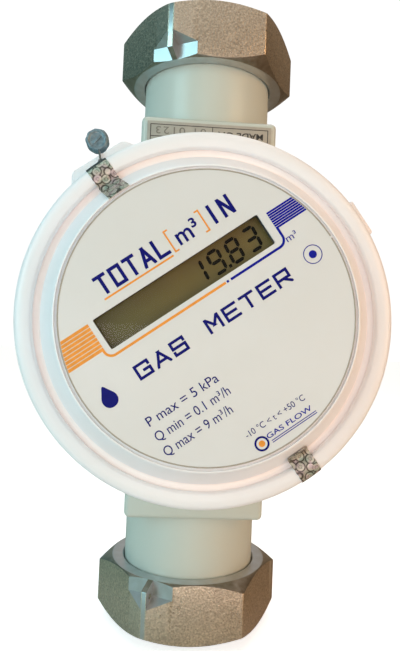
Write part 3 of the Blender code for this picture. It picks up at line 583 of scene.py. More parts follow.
def filleted(points, radius, steps=4, closed=True):
    """The polyline with its corners rounded, each within half of its shorter side."""
    made = []
    count = len(points)
    for index, point in enumerate(points):
        if not closed and index in (0, count - 1):
            made.append(tuple(point))
            continue
        corner = Vector(point)
        before = Vector(points[index - 1]) - corner
        after = Vector(points[(index + 1) % count]) - corner
        reach = min(radius, before.length / 2.2, after.length / 2.2)
        start, end = corner + before.normalized() * reach, corner + after.normalized() * reach
        for step in range(steps + 1):
            share = step / steps
            made.append(tuple(start * (1 - share) ** 2 + corner * 2 * share * (1 - share) + end * share**2))
    return made


# ---------------------------------------------------------------- body

CHAMBER_HALF_WIDTH = 14.5
CHAMBER_HALF_HEIGHT = 31.0
CHAMBER_DEPTH = 38.2
RECESS_HALF_WIDTH = 18.4
RECESS_HALF_HEIGHT = 36.0
RECESS_DEPTH = 2.0
HOLLOW_ROUNDING = 3.0
PLATE_SCREWS = [(x, y) for y in (-33.5, 33.5) for x in (-15.8, 15.8)]
PLATE_SCREW_RADIUS = 1.5
PLATE_SCREW_DEPTH = 12
OVERRUN = 3
RING_GROOVE = (81.0, 84.9)
RING_GROOVE_RADIUS = 19.8


def neck_section(side):
    """The neck's outline as a thick tube, with the snap ring's groove and a chamfered end."""
    root = BLOCK_HALF_HEIGHT - 0.5
    outline = [(GAS_BORE_RADIUS - 2, root), (NECK_RADIUS, root)]
    outline += [(NECK_RADIUS, height) for height in (62.0, 66.0, 70.0, 74.0, 78.0)]
    outline += [
        (NECK_RADIUS, RING_GROOVE[0]),
        (RING_GROOVE_RADIUS, RING_GROOVE[0]),
        (RING_GROOVE_RADIUS, RING_GROOVE[1]),
        (NECK_RADIUS, RING_GROOVE[1]),
        (NECK_RADIUS, NECK_END - 0.8),
        (NECK_RADIUS - 0.8, NECK_END),
        (GAS_BORE_RADIUS - 2, NECK_END),
    ]
    return [(radius, side * height) for radius, height in outline]


def make_body(looks):
    block = box(
        (-BLOCK_HALF_WIDTH, -BLOCK_HALF_DEPTH, -BLOCK_HALF_HEIGHT),
        (BLOCK_HALF_WIDTH, BLOCK_HALF_DEPTH, BLOCK_HALF_HEIGHT),
    )
    shape = softened(block, 1.6, 4)
    for side in (1, -1):
        shape = combined(shape, turned(neck_section(side), PIPE_SEGMENTS), "UNION")
    bore_end = NECK_END + OVERRUN
    shape = combined(shape, disc(GAS_BORE_RADIUS, -bore_end, bore_end, 72))
    chamber = box(
        (-CHAMBER_HALF_WIDTH, -CHAMBER_HALF_HEIGHT, -CHAMBER_DEPTH),
        (CHAMBER_HALF_WIDTH, CHAMBER_HALF_HEIGHT, OVERRUN),
    )
    recess = box(
        (-RECESS_HALF_WIDTH, -RECESS_HALF_HEIGHT, -RECESS_DEPTH),
        (RECESS_HALF_WIDTH, RECESS_HALF_HEIGHT, OVERRUN),
    )
    for hollow in (chamber, recess):
        hollow = softened(hollow, HOLLOW_ROUNDING, 4, upright_only=True)
        hollow.transform(FRONT)
        shape = combined(shape, hollow)
    for x, y in PLATE_SCREWS:
        hole = shifted(disc(PLATE_SCREW_RADIUS, -PLATE_SCREW_DEPTH, 0, 16), (x, y, 0))
        hole.transform(FRONT)
        shape = combined(shape, hole)
    piece("body_shell", shape, [looks["cast"]], "body", ["body_casting"])


# ---------------------------------------------------------------- union nuts

THREAD_PITCH = 25.4 / 11
THREAD_MINOR = 19.5
THREAD_MAJOR = 20.95
NUT_WIDE_BORE = 21.3
NUT_RING_GROOVE = 22.6
NUT_RING_GROOVE_SPAN = (3.3, 5.1)
THREAD_LOW = 11.7
THREAD_END_GAP = 1.6
THREAD_ROWS = 26
CHAMFER_SLOPE = math.radians(30)
CORNER_ROUNDING = 0.5
POCKET_WALL = 25.0
POCKET_OUTER = 32.0
POCKET_RISE = (4.5, 9.6)
POCKET_WIDTH = 8.0
WIRE_HOLE_RADIUS = 0.75
WIRE_HOLE_CIRCLE = 26.6
WIRE_HOLE_RISE = 4.0
WASHER_INNER = 14.0
WASHER_OUTER = 19.2
WASHER_LOW = 87.8
WASHER_HIGH = 89.8


def hexagon_radius(offset, sealed):
    """The nut's radius at an angle from its nearest corner, which is rounded or, if sealed, cut flat."""
    flat = NUT_ACROSS_FLATS / 2 / math.cos(math.radians(30 - abs(offset)))
    if sealed:
        return min(flat, (NUT_CORNER - SEAL_CORNER_FLAT) / math.cos(math.radians(offset)))
    centre = (NUT_ACROSS_FLATS / 2 - CORNER_ROUNDING) / math.cos(math.radians(30))
    tangent = math.atan2(CORNER_ROUNDING / 2, centre + CORNER_ROUNDING * math.cos(math.radians(30)))
    turn = math.radians(abs(offset))
    if turn >= tangent:
        return flat
    return centre * math.cos(turn) + math.sqrt(CORNER_ROUNDING**2 - (centre * math.sin(turn)) ** 2)


def nut_columns(side):
    """(angle, radius) round the nut, closer together at its corners."""
    rounded_steps = [0.25, 0.49, 1.5, 3.5, 6, 9, 12, 15, 18, 21, 24, 27]
    sealed_steps = [0.6, 1.2, 1.9, 3, 4.5, 6, 9, 12, 15, 18, 21, 24, 27]
    columns = []
    for corner in range(6):
        sealed = corner == SEAL_CORNER
        steps = sealed_steps if sealed else rounded_steps
        for offset in [-step for step in reversed(steps)] + [0] + steps + [30]:
            columns.append((NUT_TURN[side] + 60 * corner + offset, hexagon_radius(offset, sealed)))
    return columns


def thread_radius(height, angle, low, high):
    """The bore's radius along a right-hand thread, which runs out at both ends."""
    turns = height / THREAD_PITCH - angle / 360
    wave = 0.5 - 0.5 * math.cos(2 * math.pi * turns)
    depth = (THREAD_MAJOR - THREAD_MINOR) * min(1.0, (height - low) / 0.5, (high - height) / 0.5)
    return THREAD_MINOR + max(0.0, depth) * min(1.0, 1.25 * wave)


def nut_section(radius, angle):
    """The nut's closed outline in one direction: from its inner face round the outside and down the bore."""
    rise = (radius - NUT_CHAMFER_CIRCLE) * math.tan(CHAMFER_SLOPE)
    ease = 0.18
    skirt = [(NUT_WIDE_BORE + 0.4, 0), (NUT_CHAMFER_CIRCLE - 0.25, 0), (NUT_CHAMFER_CIRCLE + 0.15, 0.06)]
    corner = [
        (radius - ease * math.cos(CHAMFER_SLOPE), rise - ease * math.sin(CHAMFER_SLOPE)),
        (radius - ease * 0.2, rise + ease * 0.12),
        (radius, rise + ease),
    ]
    cap = [(r, NUT_HEIGHT - h) for r, h in reversed(corner)]
    cap += [
        (NUT_CHAMFER_CIRCLE + 0.15, NUT_HEIGHT - 0.06),
        (NUT_CHAMFER_CIRCLE - 0.25, NUT_HEIGHT),
        (THREAD_MAJOR + 0.3, NUT_HEIGHT),
        (THREAD_MINOR + 0.1, NUT_HEIGHT - 1.45),
    ]
    high = NUT_HEIGHT - THREAD_END_GAP
    thread = []
    for row in range(THREAD_ROWS + 1):
        height = high + (THREAD_LOW - high) * row / THREAD_ROWS
        thread.append((thread_radius(height, angle, THREAD_LOW, high), height))
    groove_low, groove_high = NUT_RING_GROOVE_SPAN
    bore = [
        (THREAD_MINOR, 11.6),
        (NUT_WIDE_BORE, 10.4),
        (NUT_WIDE_BORE, groove_high),
        (NUT_RING_GROOVE, groove_high),
        (NUT_RING_GROOVE, groove_low),
        (NUT_WIDE_BORE, groove_low),
        (NUT_WIDE_BORE, 0.4),
    ]
    return skirt + corner + cap + thread + bore


def nut_blank(side):
    """A threaded hexagon nut. Its flats are blasted (material 0) and its chamfers turned and darkened with
    painted shade (2).

    The sealed corner's flat and everything else is milled (1).
    """
    rings = []
    for angle, radius in nut_columns(side):
        section = nut_section(radius, side * angle)
        rings.append([(*polar(r, angle), side * (NUT_INNER_FACE + h)) for r, h in section])
    bm = lofted(rings)
    sealed = Vector(polar(1.0, NUT_TURN[side] + 60 * SEAL_CORNER))
    for face in bm.faces:
        centre = face.calc_center_median().xy
        face.normal_update()
        outside = centre.length > NUT_CHAMFER_CIRCLE + 0.1
        on_corner = centre.normalized().dot(sealed) > math.cos(math.radians(1.2))
        if outside and abs(face.normal.z) < 0.3 and not on_corner:
            face.material_index = 0
        # The chamfers take the darker look, which is painted shade.
        elif outside and abs(face.normal.z) >= 0.3:
            face.material_index = 2
        else:
            face.material_index = 1
    return bm


def seal_pocket(side, way):
    """A tool for one of the pockets beside the sealed corner: an upright wall and a floor that slopes out."""
    outline = [
        (POCKET_WALL, -OVERRUN),
        (POCKET_WALL, POCKET_RISE[0]),
        (POCKET_OUTER, POCKET_RISE[1]),
        (POCKET_OUTER, -OVERRUN),
    ]
    pocket = prism([(r, NUT_INNER_FACE + rise) for r, rise in outline], SEAL_RIDGE_HALF, POCKET_WIDTH)
    pocket.transform(Matrix(((1, 0, 0, 0), (0, 0, way, 0), (0, side, 0, 0), (0, 0, 0, 1))))
    bmesh.ops.recalc_face_normals(pocket, faces=pocket.faces)
    for face in pocket.faces:
        face.material_index = 1
    return pocket


def make_nut(looks, side):
    shape = nut_blank(side)
    ridge = NUT_TURN[side] + 60 * SEAL_CORNER
    for way in (1, -1):
        shape = combined(shape, shifted(seal_pocket(side, way), (0, 0, 0), (0, 0, ridge)))
    hole_place = (WIRE_HOLE_CIRCLE, 0, side * (NUT_INNER_FACE + WIRE_HOLE_RISE))
    hole = shifted(disc(WIRE_HOLE_RADIUS, -OVERRUN, OVERRUN, 20), hole_place, (90, 0, 0))
    shape = combined(shape, shifted(hole, (0, 0, 0), (0, 0, ridge)))
    name = SIDE_NAME[side]
    piece(
        f"{name}_nut_threaded",
        shape,
        [looks["blasted"], looks["machined"], looks["chamfer"]],
        f"{name}_nut",
        [f"{name}_union_nut"],
        sharp=26.0,
    )


def make_washer(looks, side):
    """The sealing washer in the nut's mouth, with its edges eased."""
    outline = filleted(rectangle(WASHER_INNER, WASHER_LOW, WASHER_OUTER, WASHER_HIGH), 0.2, 2)
    section = [(radius, side * height) for radius, height in outline]
    name = f"{SIDE_NAME[side]}_seal_washer"
    piece(f"{name}_fine", turned(section, 96), [looks["fibre"]], "body", [name])


# ---------------------------------------------------------------- head

LUG_DEPTH = (9.5, 15.8)
LUG_OUTER = 52.4
WIRE_HOLE = (0.0, 50.5)
BEZEL_OUTER = [(48.8, 17.8), (49.3, 19.2), (49.0, 20.8), (48.1, 21.8), (46.6, 22.1), (44.8, 21.8)]
BAND_INNER = 42.6
BAND_FLOOR = 19.5
BOARD_POSTS = (90, 200, 340)
BOARD_POST_CIRCLE = 31.0
STOP_TRACK_SWEEP = 348.8
CAP_OUTER = [(42.9, 19.6), (42.4, 20.2), (38.1, 28.6), (37.6, 29.3), (37.1, 29.5)]


def make_head_base(looks):
    outside = [(12.3, 3.0), (43.8, 3.0), (45.8, 3.6), (47.0, 5.0), (47.3, 7.0), (47.8, 17.4)]
    rim = [(47.1, 17.4), (47.1, 16.0), (45.3, 16.0)]
    inside = [(44.9, 7.2), (43.2, 5.6), (16.5, 5.6), (16.5, 8.6), (12.3, 8.6)]
    groove = [(12.3, 6.4), (13.7, 6.4), (13.7, 4.6), (12.3, 4.6)]
    shape = turned(filleted(outside, 0.6, 3, False) + rim + filleted(inside, 0.5, 2, False) + groove)
    for angle in BOARD_POSTS:
        place = (*polar(BOARD_POST_CIRCLE, angle), 0)
        shape = combined(shape, shifted(disc(3.0, 4.6, 16.7, 24), place), "UNION")
        shape = combined(shape, shifted(disc(1.5, 8.0, 18.0, 16), place))
    half = [(11.4, 45.4), (11.4, 47.6), (8.7, LUG_OUTER - 0.8), (7.7, LUG_OUTER)]
    outline = half + [(-x, y) for x, y in reversed(half)]
    lug = prism(filleted(outline, 0.9, 4), *LUG_DEPTH)
    flat = [edge for edge in lug.edges if abs(edge.verts[0].co.z - edge.verts[1].co.z) < 0.01]
    bmesh.ops.bevel(lug, geom=flat, offset=0.35, segments=3, affect="EDGES", profile=0.5)
    shape = combined(shape, lug, "UNION")
    shape = combined(shape, shifted(disc(1.0, 5, 20, 24), (*WIRE_HOLE, 0)))
    tab = softened(box((46.9, -5.2, 11.0), (51.4, 5.2, 17.0)), 0.6)
    shape = combined(shape, tab, "UNION")
    track = [(20.4, 2.0), (23.6, 2.0), (23.6, 4.4), (20.4, 4.4)]
    shape = combined(shape, turned(track, 72, 90 - STOP_TRACK_SWEEP / 2, STOP_TRACK_SWEEP))
    piece("head_shell", shape, [looks["white"]], "head", ["head_base"], DIAL)


def make_bezel(looks):
    outer = filleted([(46.9, 17.8)] + BEZEL_OUTER + [(44.4, 21.2), (44.4, 19.9)], 0.6, 4, False)
    shape = turned(outer + [(46.9, 19.9)])
    piece("bezel_moulding", shape, [looks["white"]], "head", ["bezel_ring"], DIAL)


def window_tool(low, high, margin=0.0):
    """The rounded rectangle of the display window."""
    half_width, half_height = WINDOW_HALF_WIDTH + margin, WINDOW_HALF_HEIGHT + margin
    opening = box(
        (-half_width, WINDOW_RISE - half_height, low),
        (half_width, WINDOW_RISE + half_height, high),
    )
    return softened(opening, 0.45 + margin, 3, upright_only=True)


def plate_of_rings(section, segments=FINE_SEGMENTS):
    """A turned section whose first and last points lie on the axis, closed there by flat faces."""
    circle = [360 * step / segments for step in range(segments)]
    rings = [[(*polar(radius, angle), height) for angle in circle] for radius, height in section[1:-1]]
    return lofted(rings, whole=False)


def make_cap(looks):
    """The stepped cap. Its groove has the band's look, which is painted light, and its window a dark wall."""
    flange = [(0, CAP_INSIDE), (35.6, CAP_INSIDE), (41.0, 17.9), (46.6, 17.9), (46.6, 19.6)]
    wall = filleted([(46.6, 19.6)] + CAP_OUTER + [(37.1, 28.8)], 0.8, 4, False)[1:]
    recess = [(36.3, 28.8), (36.3, CAP_TOP), (0, CAP_TOP)]
    shape = plate_of_rings(flange + wall + recess)
    shape = combined(shape, window_tool(CAP_INSIDE - 1, CAP_TOP + 1))
    window_reach = math.hypot(WINDOW_HALF_WIDTH, WINDOW_RISE + WINDOW_HALF_HEIGHT)
    for face in shape.faces:
        centre = face.calc_center_median()
        # The groove's floor takes the band's painted light.
        if centre.xy.length > BAND_INNER and centre.z > BAND_FLOOR:
            face.material_index = 1
        # The window's wall faces are coloured dark all round.
        elif abs(face.normal.z) < 0.5 and centre.z > CAP_INSIDE and centre.xy.length < window_reach:
            face.material_index = 2
        else:
            face.material_index = 0
    finishes = [looks["white"], looks["band"], looks["dark"]]
    piece("cap_moulding", shape, finishes, "head", ["front_cap"], DIAL)


def make_label(looks):
    edge = filleted([(LABEL_RADIUS, CAP_TOP + 0.15), (LABEL_RADIUS, FACE_DEPTH)], 0.1, 2, False)
    section = [(0, CAP_TOP + 0.15)] + edge + [(0, FACE_DEPTH)]
    shape = combined(plate_of_rings(section), window_tool(CAP_TOP - 1, FACE_DEPTH + 1))
    piece("dial_film_disc", shape, [looks["film"]], "head", ["dial_label"], DIAL)


# ---------------------------------------------------------------- dial print

STRIPE_COUNT = 8
STRIPE_LOW = {1: 8.9, -1: 7.0}
STRIPE_PITCH = {1: 0.6, -1: 0.95}
STRIPE_WIDTH = {1: 0.49, -1: 0.78}
STRIPE_INNER = {1: 25.8, -1: 25.2}
STRIPE_OUTER = 35.9
OUTLINE_RISE = 4.7
OUTLINE_WIDTH = 0.62
OUTLINE_CORNER = 2.0
OUTLINE_BREAK = 8.7
FONT_CAPITAL = 0.73


def stroke(points, width):
    """The outline of a line of that width along the points, with mitred corners."""
    left, right = [], []
    for index, point in enumerate(points):
        here = Vector(point)
        before = (here - Vector(points[index - 1])).normalized() if index else None
        after = (Vector(points[index + 1]) - here).normalized() if index < len(points) - 1 else None
        if before is None:
            before = after
        if after is None:
            after = before
        along = (before + after).normalized()
        across = Vector((-along.y, along.x)) * width / 2 / max(0.5, along.dot(before))
        left.append(tuple(here + across))
        right.append(tuple(here - across))
    return left + right[::-1]


def rectangle(left, low, right, high):
    return [(left, low), (right, low), (right, high), (left, high)]


def arc(centre, radius, start, end, steps=8):
    turns = [start + (end - start) * step / steps for step in range(steps + 1)]
    return [(centre[0] + polar(radius, turn)[0], centre[1] + polar(radius, turn)[1]) for turn in turns]


def ring_outline(centre, radius, width, steps=32):
    """A closed band as one outline that doubles back through a hair-thin slit."""
    slit = 0.4
    outer = arc(centre, radius + width / 2, slit, 360 - slit, steps)
    return outer + arc(centre, radius - width / 2, 360 - slit, slit, steps)


def printed(name, outlines, look, depth=FACE_DEPTH, slot="dial_print", place=DIAL, body="head"):
    """Ink as thin raised shapes just clear of the surface it lies on."""
    low = depth + INK_GAP
    shapes = [prism(outline, low, low + INK_THICKNESS) for outline in outlines]
    return piece(name, gathered(shapes), [look], body, (), place)


def lettering(name, text, look, centre, height, width=None, weight=0.0, spacing=1.0,
              depth=FACE_DEPTH, turn=0.0, slot="dial_print", place=DIAL, body="head"):
    """Plain lettering, centred, with capitals of that height and a total width, as thin raised shapes."""
    curve = bpy.data.curves.new("scratch", "FONT")
    curve.body = text
    curve.size = 1.0
    curve.offset = weight
    curve.space_character = spacing
    curve.resolution_u = 4
    curve.fill_mode = "BOTH"
    curve.extrude = 0.5
    scratch = in_scene(curve)
    graph = bpy.context.evaluated_depsgraph_get()
    bm = bmesh.new()
    bm.from_mesh(scratch.evaluated_get(graph).to_mesh())
    bpy.data.objects.remove(scratch)
    bpy.data.curves.remove(curve)
    bmesh.ops.remove_doubles(bm, verts=bm.verts, dist=1e-5)
    xs = [vert.co.x for vert in bm.verts]
    tall = height / FONT_CAPITAL
    wide = tall if width is None else width / (max(xs) - min(xs))
    middle = (max(xs) + min(xs)) / 2
    for vert in bm.verts:
        x, y = (vert.co.x - middle) * wide, (vert.co.y - FONT_CAPITAL / 2) * tall
        vert.co = (x, y, depth + INK_GAP + (vert.co.z + 0.5) * INK_THICKNESS)
    shifted(bm, (*centre, 0), (0, 0, turn))
    return piece(name, bm, [look], body, (), place)


LETTERS = {
    "A": [[(0, 0), (0.5, 1), (1, 0)], [(0.2, 0.28), (0.8, 0.28)]],
    "E": [[(1, 1), (0, 1), (0, 0), (1, 0)], [(0, 0.5), (0.88, 0.5)]],
    "G": [[(1, 0.78), (1, 1), (0, 1), (0, 0), (1, 0), (1, 0.46), (0.55, 0.46)]],
    "I": [[(0.5, 0), (0.5, 1)]],
    "L": [[(0, 1), (0, 0), (1, 0)]],
    "M": [[(0, 0), (0, 1)], [(0.06, 1), (0.5, 0.4), (0.94, 1)], [(1, 1), (1, 0)]],
    "N": [[(0, 0), (0, 1)], [(0.06, 1), (0.94, 0)], [(1, 0), (1, 1)]],
    "O": [[(0, 0), (1, 0), (1, 1), (0, 1), (0, 0)]],
    "R": [[(0, 0), (0, 1), (1, 1), (1, 0.42), (0, 0.42)], [(0.5, 0.42), (1, 0)]],
    "S": [[(1, 0.8), (1, 1), (0, 1), (0, 0.5), (1, 0.5), (1, 0), (0, 0), (0, 0.2)]],
    "T": [[(0, 1), (1, 1)], [(0.5, 1), (0.5, 0)]],
    "[": [[(0.8, 1), (0.2, 1), (0.2, 0), (0.8, 0)]],
    "]": [[(0.2, 1), (0.8, 1), (0.8, 0), (0.2, 0)]],
}


def pen_bar(start, end, weight):
    """One straight stroke of a letter. A sloping one is cut off level at both ends."""
    (low_x, low_y), (high_x, high_y) = sorted((start, end), key=lambda point: point[1])
    half = weight / 2
    if abs(high_x - low_x) < 0.01 or high_y - low_y < 0.01:
        return rectangle(min(low_x, high_x) - half, low_y - half, max(low_x, high_x) + half, high_y + half)
    lean = (high_x - low_x) / (high_y - low_y)
    reach = half * math.hypot(1, lean)
    low_x, high_x = low_x - lean * half, high_x + lean * half
    foot = [(low_x - reach, low_y - half), (low_x + reach, low_y - half)]
    return foot + [(high_x + reach, high_y + half), (high_x - reach, high_y + half)]


def drawn_lettering(name, text, look, left, right, foot, height, weight, gap=0.75):
    """Square-built capitals drawn with a flat pen of that weight, spread evenly from left to right."""
    pitch = (right - left + gap) / len(text)
    wide = pitch - gap
    low, high = FACE_DEPTH + INK_GAP, FACE_DEPTH + INK_GAP + INK_THICKNESS
    letters = []
    for index, letter in enumerate(text):
        start_x = left + pitch * index
        shape = None
        for line in LETTERS.get(letter, []):
            placed = [
                (start_x + weight / 2 + x * (wide - weight), foot + weight / 2 + y * (height - weight))
                for x, y in line
            ]
            for start, end in zip(placed, placed[1:]):
                bar = prism(pen_bar(start, end, weight), low, high)
                shape = bar if shape is None else combined(shape, bar, "UNION")
        if shape is not None:
            room = box((start_x, foot, low - 1), (start_x + wide, foot + height, high + 1))
            letters.append(combined(shape, room, "INTERSECT"))
    return piece(name, gathered(letters), [look], "head", (), DIAL)


def stripe_outlines(way):
    """Stripes from beside the window to the film's round edge."""
    outlines = []
    for index in range(STRIPE_COUNT):
        low = STRIPE_LOW[way] + STRIPE_PITCH[way] * index
        high = low + STRIPE_WIDTH[way]
        inner = way * STRIPE_INNER[way]
        ends = [way * math.sqrt(STRIPE_OUTER**2 - rise**2) for rise in (low, high)]
        outlines.append([(inner, low), (ends[0], low), (ends[1], high), (inner, high)])
    return outlines


def frame_line(way, end):
    """The coloured line that runs down from the stripes, round the window's corner and along below it."""
    side = STRIPE_INNER[way] + OUTLINE_WIDTH / 2
    corner = arc((side - OUTLINE_CORNER, OUTLINE_RISE + OUTLINE_CORNER), OUTLINE_CORNER, 0, -90)
    points = [(side, STRIPE_LOW[way])] + corner + [(way * end, OUTLINE_RISE)]
    return stroke([(way * x, y) for x, y in points], OUTLINE_WIDTH)


def flame(centre, height):
    """A plain drop-shaped flame."""
    right = [(0, 0.5), (0.16, 0.22), (0.33, -0.05), (0.33, -0.28), (0.2, -0.45), (0, -0.5)]
    outline = filleted(right + [(-x, y) for x, y in reversed(right[1:-1])], 0.2, 3)
    return [(centre[0] + x * height, centre[1] + y * height) for x, y in outline]


def make_dial_print(looks):
    navy, blue, orange = looks["navy"], looks["blue"], looks["orange"]
    printed("dial_stripes_left", stripe_outlines(-1) + [frame_line(-1, OUTLINE_BREAK - 0.6)], orange)
    printed("dial_stripes_right", stripe_outlines(1) + [frame_line(1, OUTLINE_BREAK + 0.9)], blue)
    point = [(OUTLINE_BREAK + x, OUTLINE_RISE + y) for x, y in rectangle(-0.3, -0.3, 0.3, 0.3)]
    printed("dial_point", [point], blue)
    printed("dial_underline", [rectangle(-18.6, 16.9, 1.1, 17.35)], orange)
    drawn_lettering("dial_title", "TOTAL", navy, -18.6, 1.1, 17.9, 5.1, 0.85)
    drawn_lettering("dial_title_bracket_left", "[", orange, 1.6, 3.4, 17.4, 6.0, 0.4)
    lettering("dial_title_unit", "m³", navy, (7.0, 20.5), 4.6, 6.2, 0.012)
    drawn_lettering("dial_title_bracket_right", "]", orange, 10.6, 12.4, 17.4, 6.0, 0.4)
    drawn_lettering("dial_title_end", "IN", navy, 12.8, 20.0, 17.9, 5.1, 0.85)
    drawn_lettering("dial_name", "GAS METER", navy, -22.0, 22.5, -3.9, 3.9, 0.7, 0.95)
    lettering("dial_unit", "m³", blue, (27.9, 5.6), 1.9, 3.0)
    mark = (29.95, -1.1)
    printed("dial_round_mark", [ring_outline(mark, 2.3, 0.22)], blue)
    printed("dial_round_mark_dot", [arc(mark, 1.0, 0, 345, 23)], blue)
    printed("dial_flame", [flame((-30.5, -2.6), 6.0)], navy)
    ratings = [
        ("P max = 5 kPa", -13.0, -26.2, -6.2),
        ("Q min = 0.1 m³/h", -17.1, -26.5, -5.5),
        ("Q max = 9 m³/h", -21.2, -26.7, -7.5),
    ]
    for number, (text, rise, left, right) in enumerate(ratings, 1):
        lettering(f"dial_rating_{number}", text, navy, ((left + right) / 2, rise), 2.5, right - left)
    lettering("dial_temperature", "-10 °C < t < +50 °C", navy, (0.3, -28.8), 1.6, 17.0)
    lettering("dial_foot", "GAS FLOW", blue, (2.4, -31.9), 1.3, 13.0, 0.01)
    printed("dial_foot_lines", [rectangle(-3.6, -33.4, 9.4, -33.2), rectangle(-3.6, -33.9, 9.4, -33.7)], blue)
    # Painted shadow: a grey ring along the film's edge, where the edge of its bed casts a shadow.
    printed("dial_edge_painted_shadow", [ring_outline((0, 0), LABEL_RADIUS - 0.05, 0.36, 96)], looks["shadow_ink"])
    foot_mark = (-6.0, -32.6)
    printed("dial_foot_ring", [ring_outline(foot_mark, 1.6, 0.5)], navy)
    printed("dial_foot_dot", [arc(foot_mark, 0.8, 0, 345, 23)], orange)


# ---------------------------------------------------------------- display

DIGIT_HEIGHT = 5.6
DIGIT_WIDTH = 3.0
DIGIT_PITCH = 5.3
DIGIT_SLANT = math.radians(5)
SEGMENT_WIDTH = 0.86
LAST_DIGIT = 20.1
READING = "1983"
SEGMENTS_OF = {"1": "bc", "3": "abgcd", "8": "abcdefg", "9": "abcdfg"}


def segment_outline(letter):
    """One bar of a seven-part digit, with pointed ends, about the digit's centre."""
    x, y = DIGIT_WIDTH / 2, DIGIT_HEIGHT / 2
    ends = {
        "a": ((-x, y), (x, y)),
        "b": ((x, y), (x, 0)),
        "c": ((x, 0), (x, -y)),
        "d": ((-x, -y), (x, -y)),
        "e": ((-x, 0), (-x, -y)),
        "f": ((-x, y), (-x, 0)),
        "g": ((-x, 0), (x, 0)),
    }[letter]
    start, end = (Vector(point) for point in ends)
    along = (end - start).normalized()
    across = Vector((-along.y, along.x)) * SEGMENT_WIDTH / 2
    shy = along * 0.12
    taper = along * SEGMENT_WIDTH / 2
    start, end = start + shy, end - shy
    upper = [start, start + taper + across, end - taper + across]
    lower = [end, end - taper - across, start + taper - across]
    return [tuple(corner) for corner in upper + lower]


def slanted(outline, centre):
    return [(centre[0] + x + y * math.tan(DIGIT_SLANT), centre[1] + y) for x, y in outline]


def make_display(looks):
    outlines = []
    for index, digit in enumerate(READING):
        centre = (LAST_DIGIT - DIGIT_PITCH * (len(READING) - 1 - index), WINDOW_RISE)
        outlines += [slanted(segment_outline(letter), centre) for letter in SEGMENTS_OF[digit]]
    point = (LAST_DIGIT - DIGIT_PITCH * 1.5, WINDOW_RISE)
    outlines.append(slanted(rectangle(-0.4, -DIGIT_HEIGHT / 2 - 0.3, 0.4, -DIGIT_HEIGHT / 2 + 0.5), point))
    printed("display_reading", outlines, looks["segment"], LCD_FRONT, "lcd_glass")


# ---------------------------------------------------------------- stickers, seal and date plate

STICKER_HALF_WIDTH = 3.0
STICKER_START = {"upper": 2, "lower": 1}
STICKER_OVER_CAP = {
    "upper": [(39.9, 25.6), (38.5, 28.2), (37.75, 29.4), (37.2, 29.58)],
    "lower": [(40.9, 23.6)],
}
STICKER_ANGLE = {"upper": 92.4, "lower": -89.3}
# Rows at the strip's outer end, painted dark as shade where the foil turns over the bezel's edge.
STICKER_SHADED_ROWS = {"upper": 2, "lower": 1}


def make_sticker(looks, side):
    """A foil strip over the joint of bezel and cap, with slightly uneven edges and painted shade at its outer
    end.
    """
    over_bezel = BEZEL_OUTER[STICKER_START[side]:]
    surface = filleted(over_bezel + [(43.4, 21.0), (42.2, 21.3)] + STICKER_OVER_CAP[side], 0.7, 3, False)
    steps, gap, thickness = 12, 0.08, 0.12
    bm = bmesh.new()
    layers = []
    for offset in (gap, gap + thickness):
        rows = []
        for index, point in enumerate(surface):
            before = Vector(surface[max(index - 1, 0)])
            after = Vector(surface[min(index + 1, len(surface) - 1)])
            along = (after - before).normalized()
            radius, height = Vector(point) - Vector((-along.y, along.x)) * offset
            wander = 1 + 0.02 * math.sin(index * 1.7)
            row = []
            for step in range(steps + 1):
                across = STICKER_HALF_WIDTH * wander * (2 * step / steps - 1)
                row.append(bm.verts.new((across, math.sqrt(radius**2 - across**2), height)))
            rows.append(row)
        layers.append(rows)
    low, high = layers
    last = len(surface) - 1
    for i in range(last):
        for j in range(steps):
            bm.faces.new((low[i][j], low[i + 1][j], low[i + 1][j + 1], low[i][j + 1]))
            top = bm.faces.new((high[i][j], high[i][j + 1], high[i + 1][j + 1], high[i + 1][j]))
            # Painted shade: the top faces of the first rows, where the foil bends over the bezel, are near
            # black.
            top.material_index = 1 if i < STICKER_SHADED_ROWS[side] else 0
        for j in (0, steps):
            bm.faces.new((low[i][j], high[i][j], high[i + 1][j], low[i + 1][j]))
    for i in (0, last):
        for j in range(steps):
            bm.faces.new((low[i][j], low[i][j + 1], high[i][j + 1], high[i][j]))
    shifted(bm, (0, 0, 0), (0, 0, STICKER_ANGLE[side] - 90))
    name = f"seal_sticker_{side}"
    piece(f"{name}_foil", bm, [looks["foil"], looks["foil_painted_shade"]], "head", [name], DIAL)


SEAL_RADIUS = 3.1
SEAL_HALF_THICKNESS = 1.7
SEAL_ARM = 6.7
SEAL_LEAN = 21.0
SEAL_DEPTH = 13.0
WIRE_RADIUS = 0.27
HANGER = DIAL @ Matrix.Translation((*WIRE_HOLE, 0)) @ Matrix.Rotation(math.radians(-SEAL_LEAN), 4, "Z")


def make_lead_seal(looks):
    """A pressed lead disc with a raised rim and bar, dented all over."""
    face = SEAL_HALF_THICKNESS
    sunk = face - 0.28
    half = [(0.6, sunk), (2.0, sunk), (2.25, face), (2.75, face), (3.05, face - 0.4), (SEAL_RADIUS, 0.0)]
    section = [(0, sunk)] + filleted(half, 0.3, 3, False)
    section += [(r, -h) for r, h in reversed(section[:-1])]
    bm = plate_of_rings(section, 48)
    for vert in bm.verts:
        push = noise.noise(vert.co * 0.7) * 0.22 + noise.noise(vert.co * 2.1) * 0.08
        vert.co += vert.co.normalized() * push
        vert.co.z = max(-SEAL_HALF_THICKNESS, min(SEAL_HALF_THICKNESS, vert.co.z))
    for way in (1, -1):
        middle = way * (face - 0.35)
        bar = softened(box((-1.5, -0.35, middle - 0.3), (1.5, 0.35, middle + 0.3)), 0.15, 2)
        bm = combined(bm, shifted(bar, (0, 0, 0), (0, 0, 35)), "UNION")
    shifted(bm, (0, SEAL_ARM, SEAL_DEPTH))
    piece("lead_seal_pressed", bm, [looks["lead"]], "seal", ["lead_seal"], HANGER)


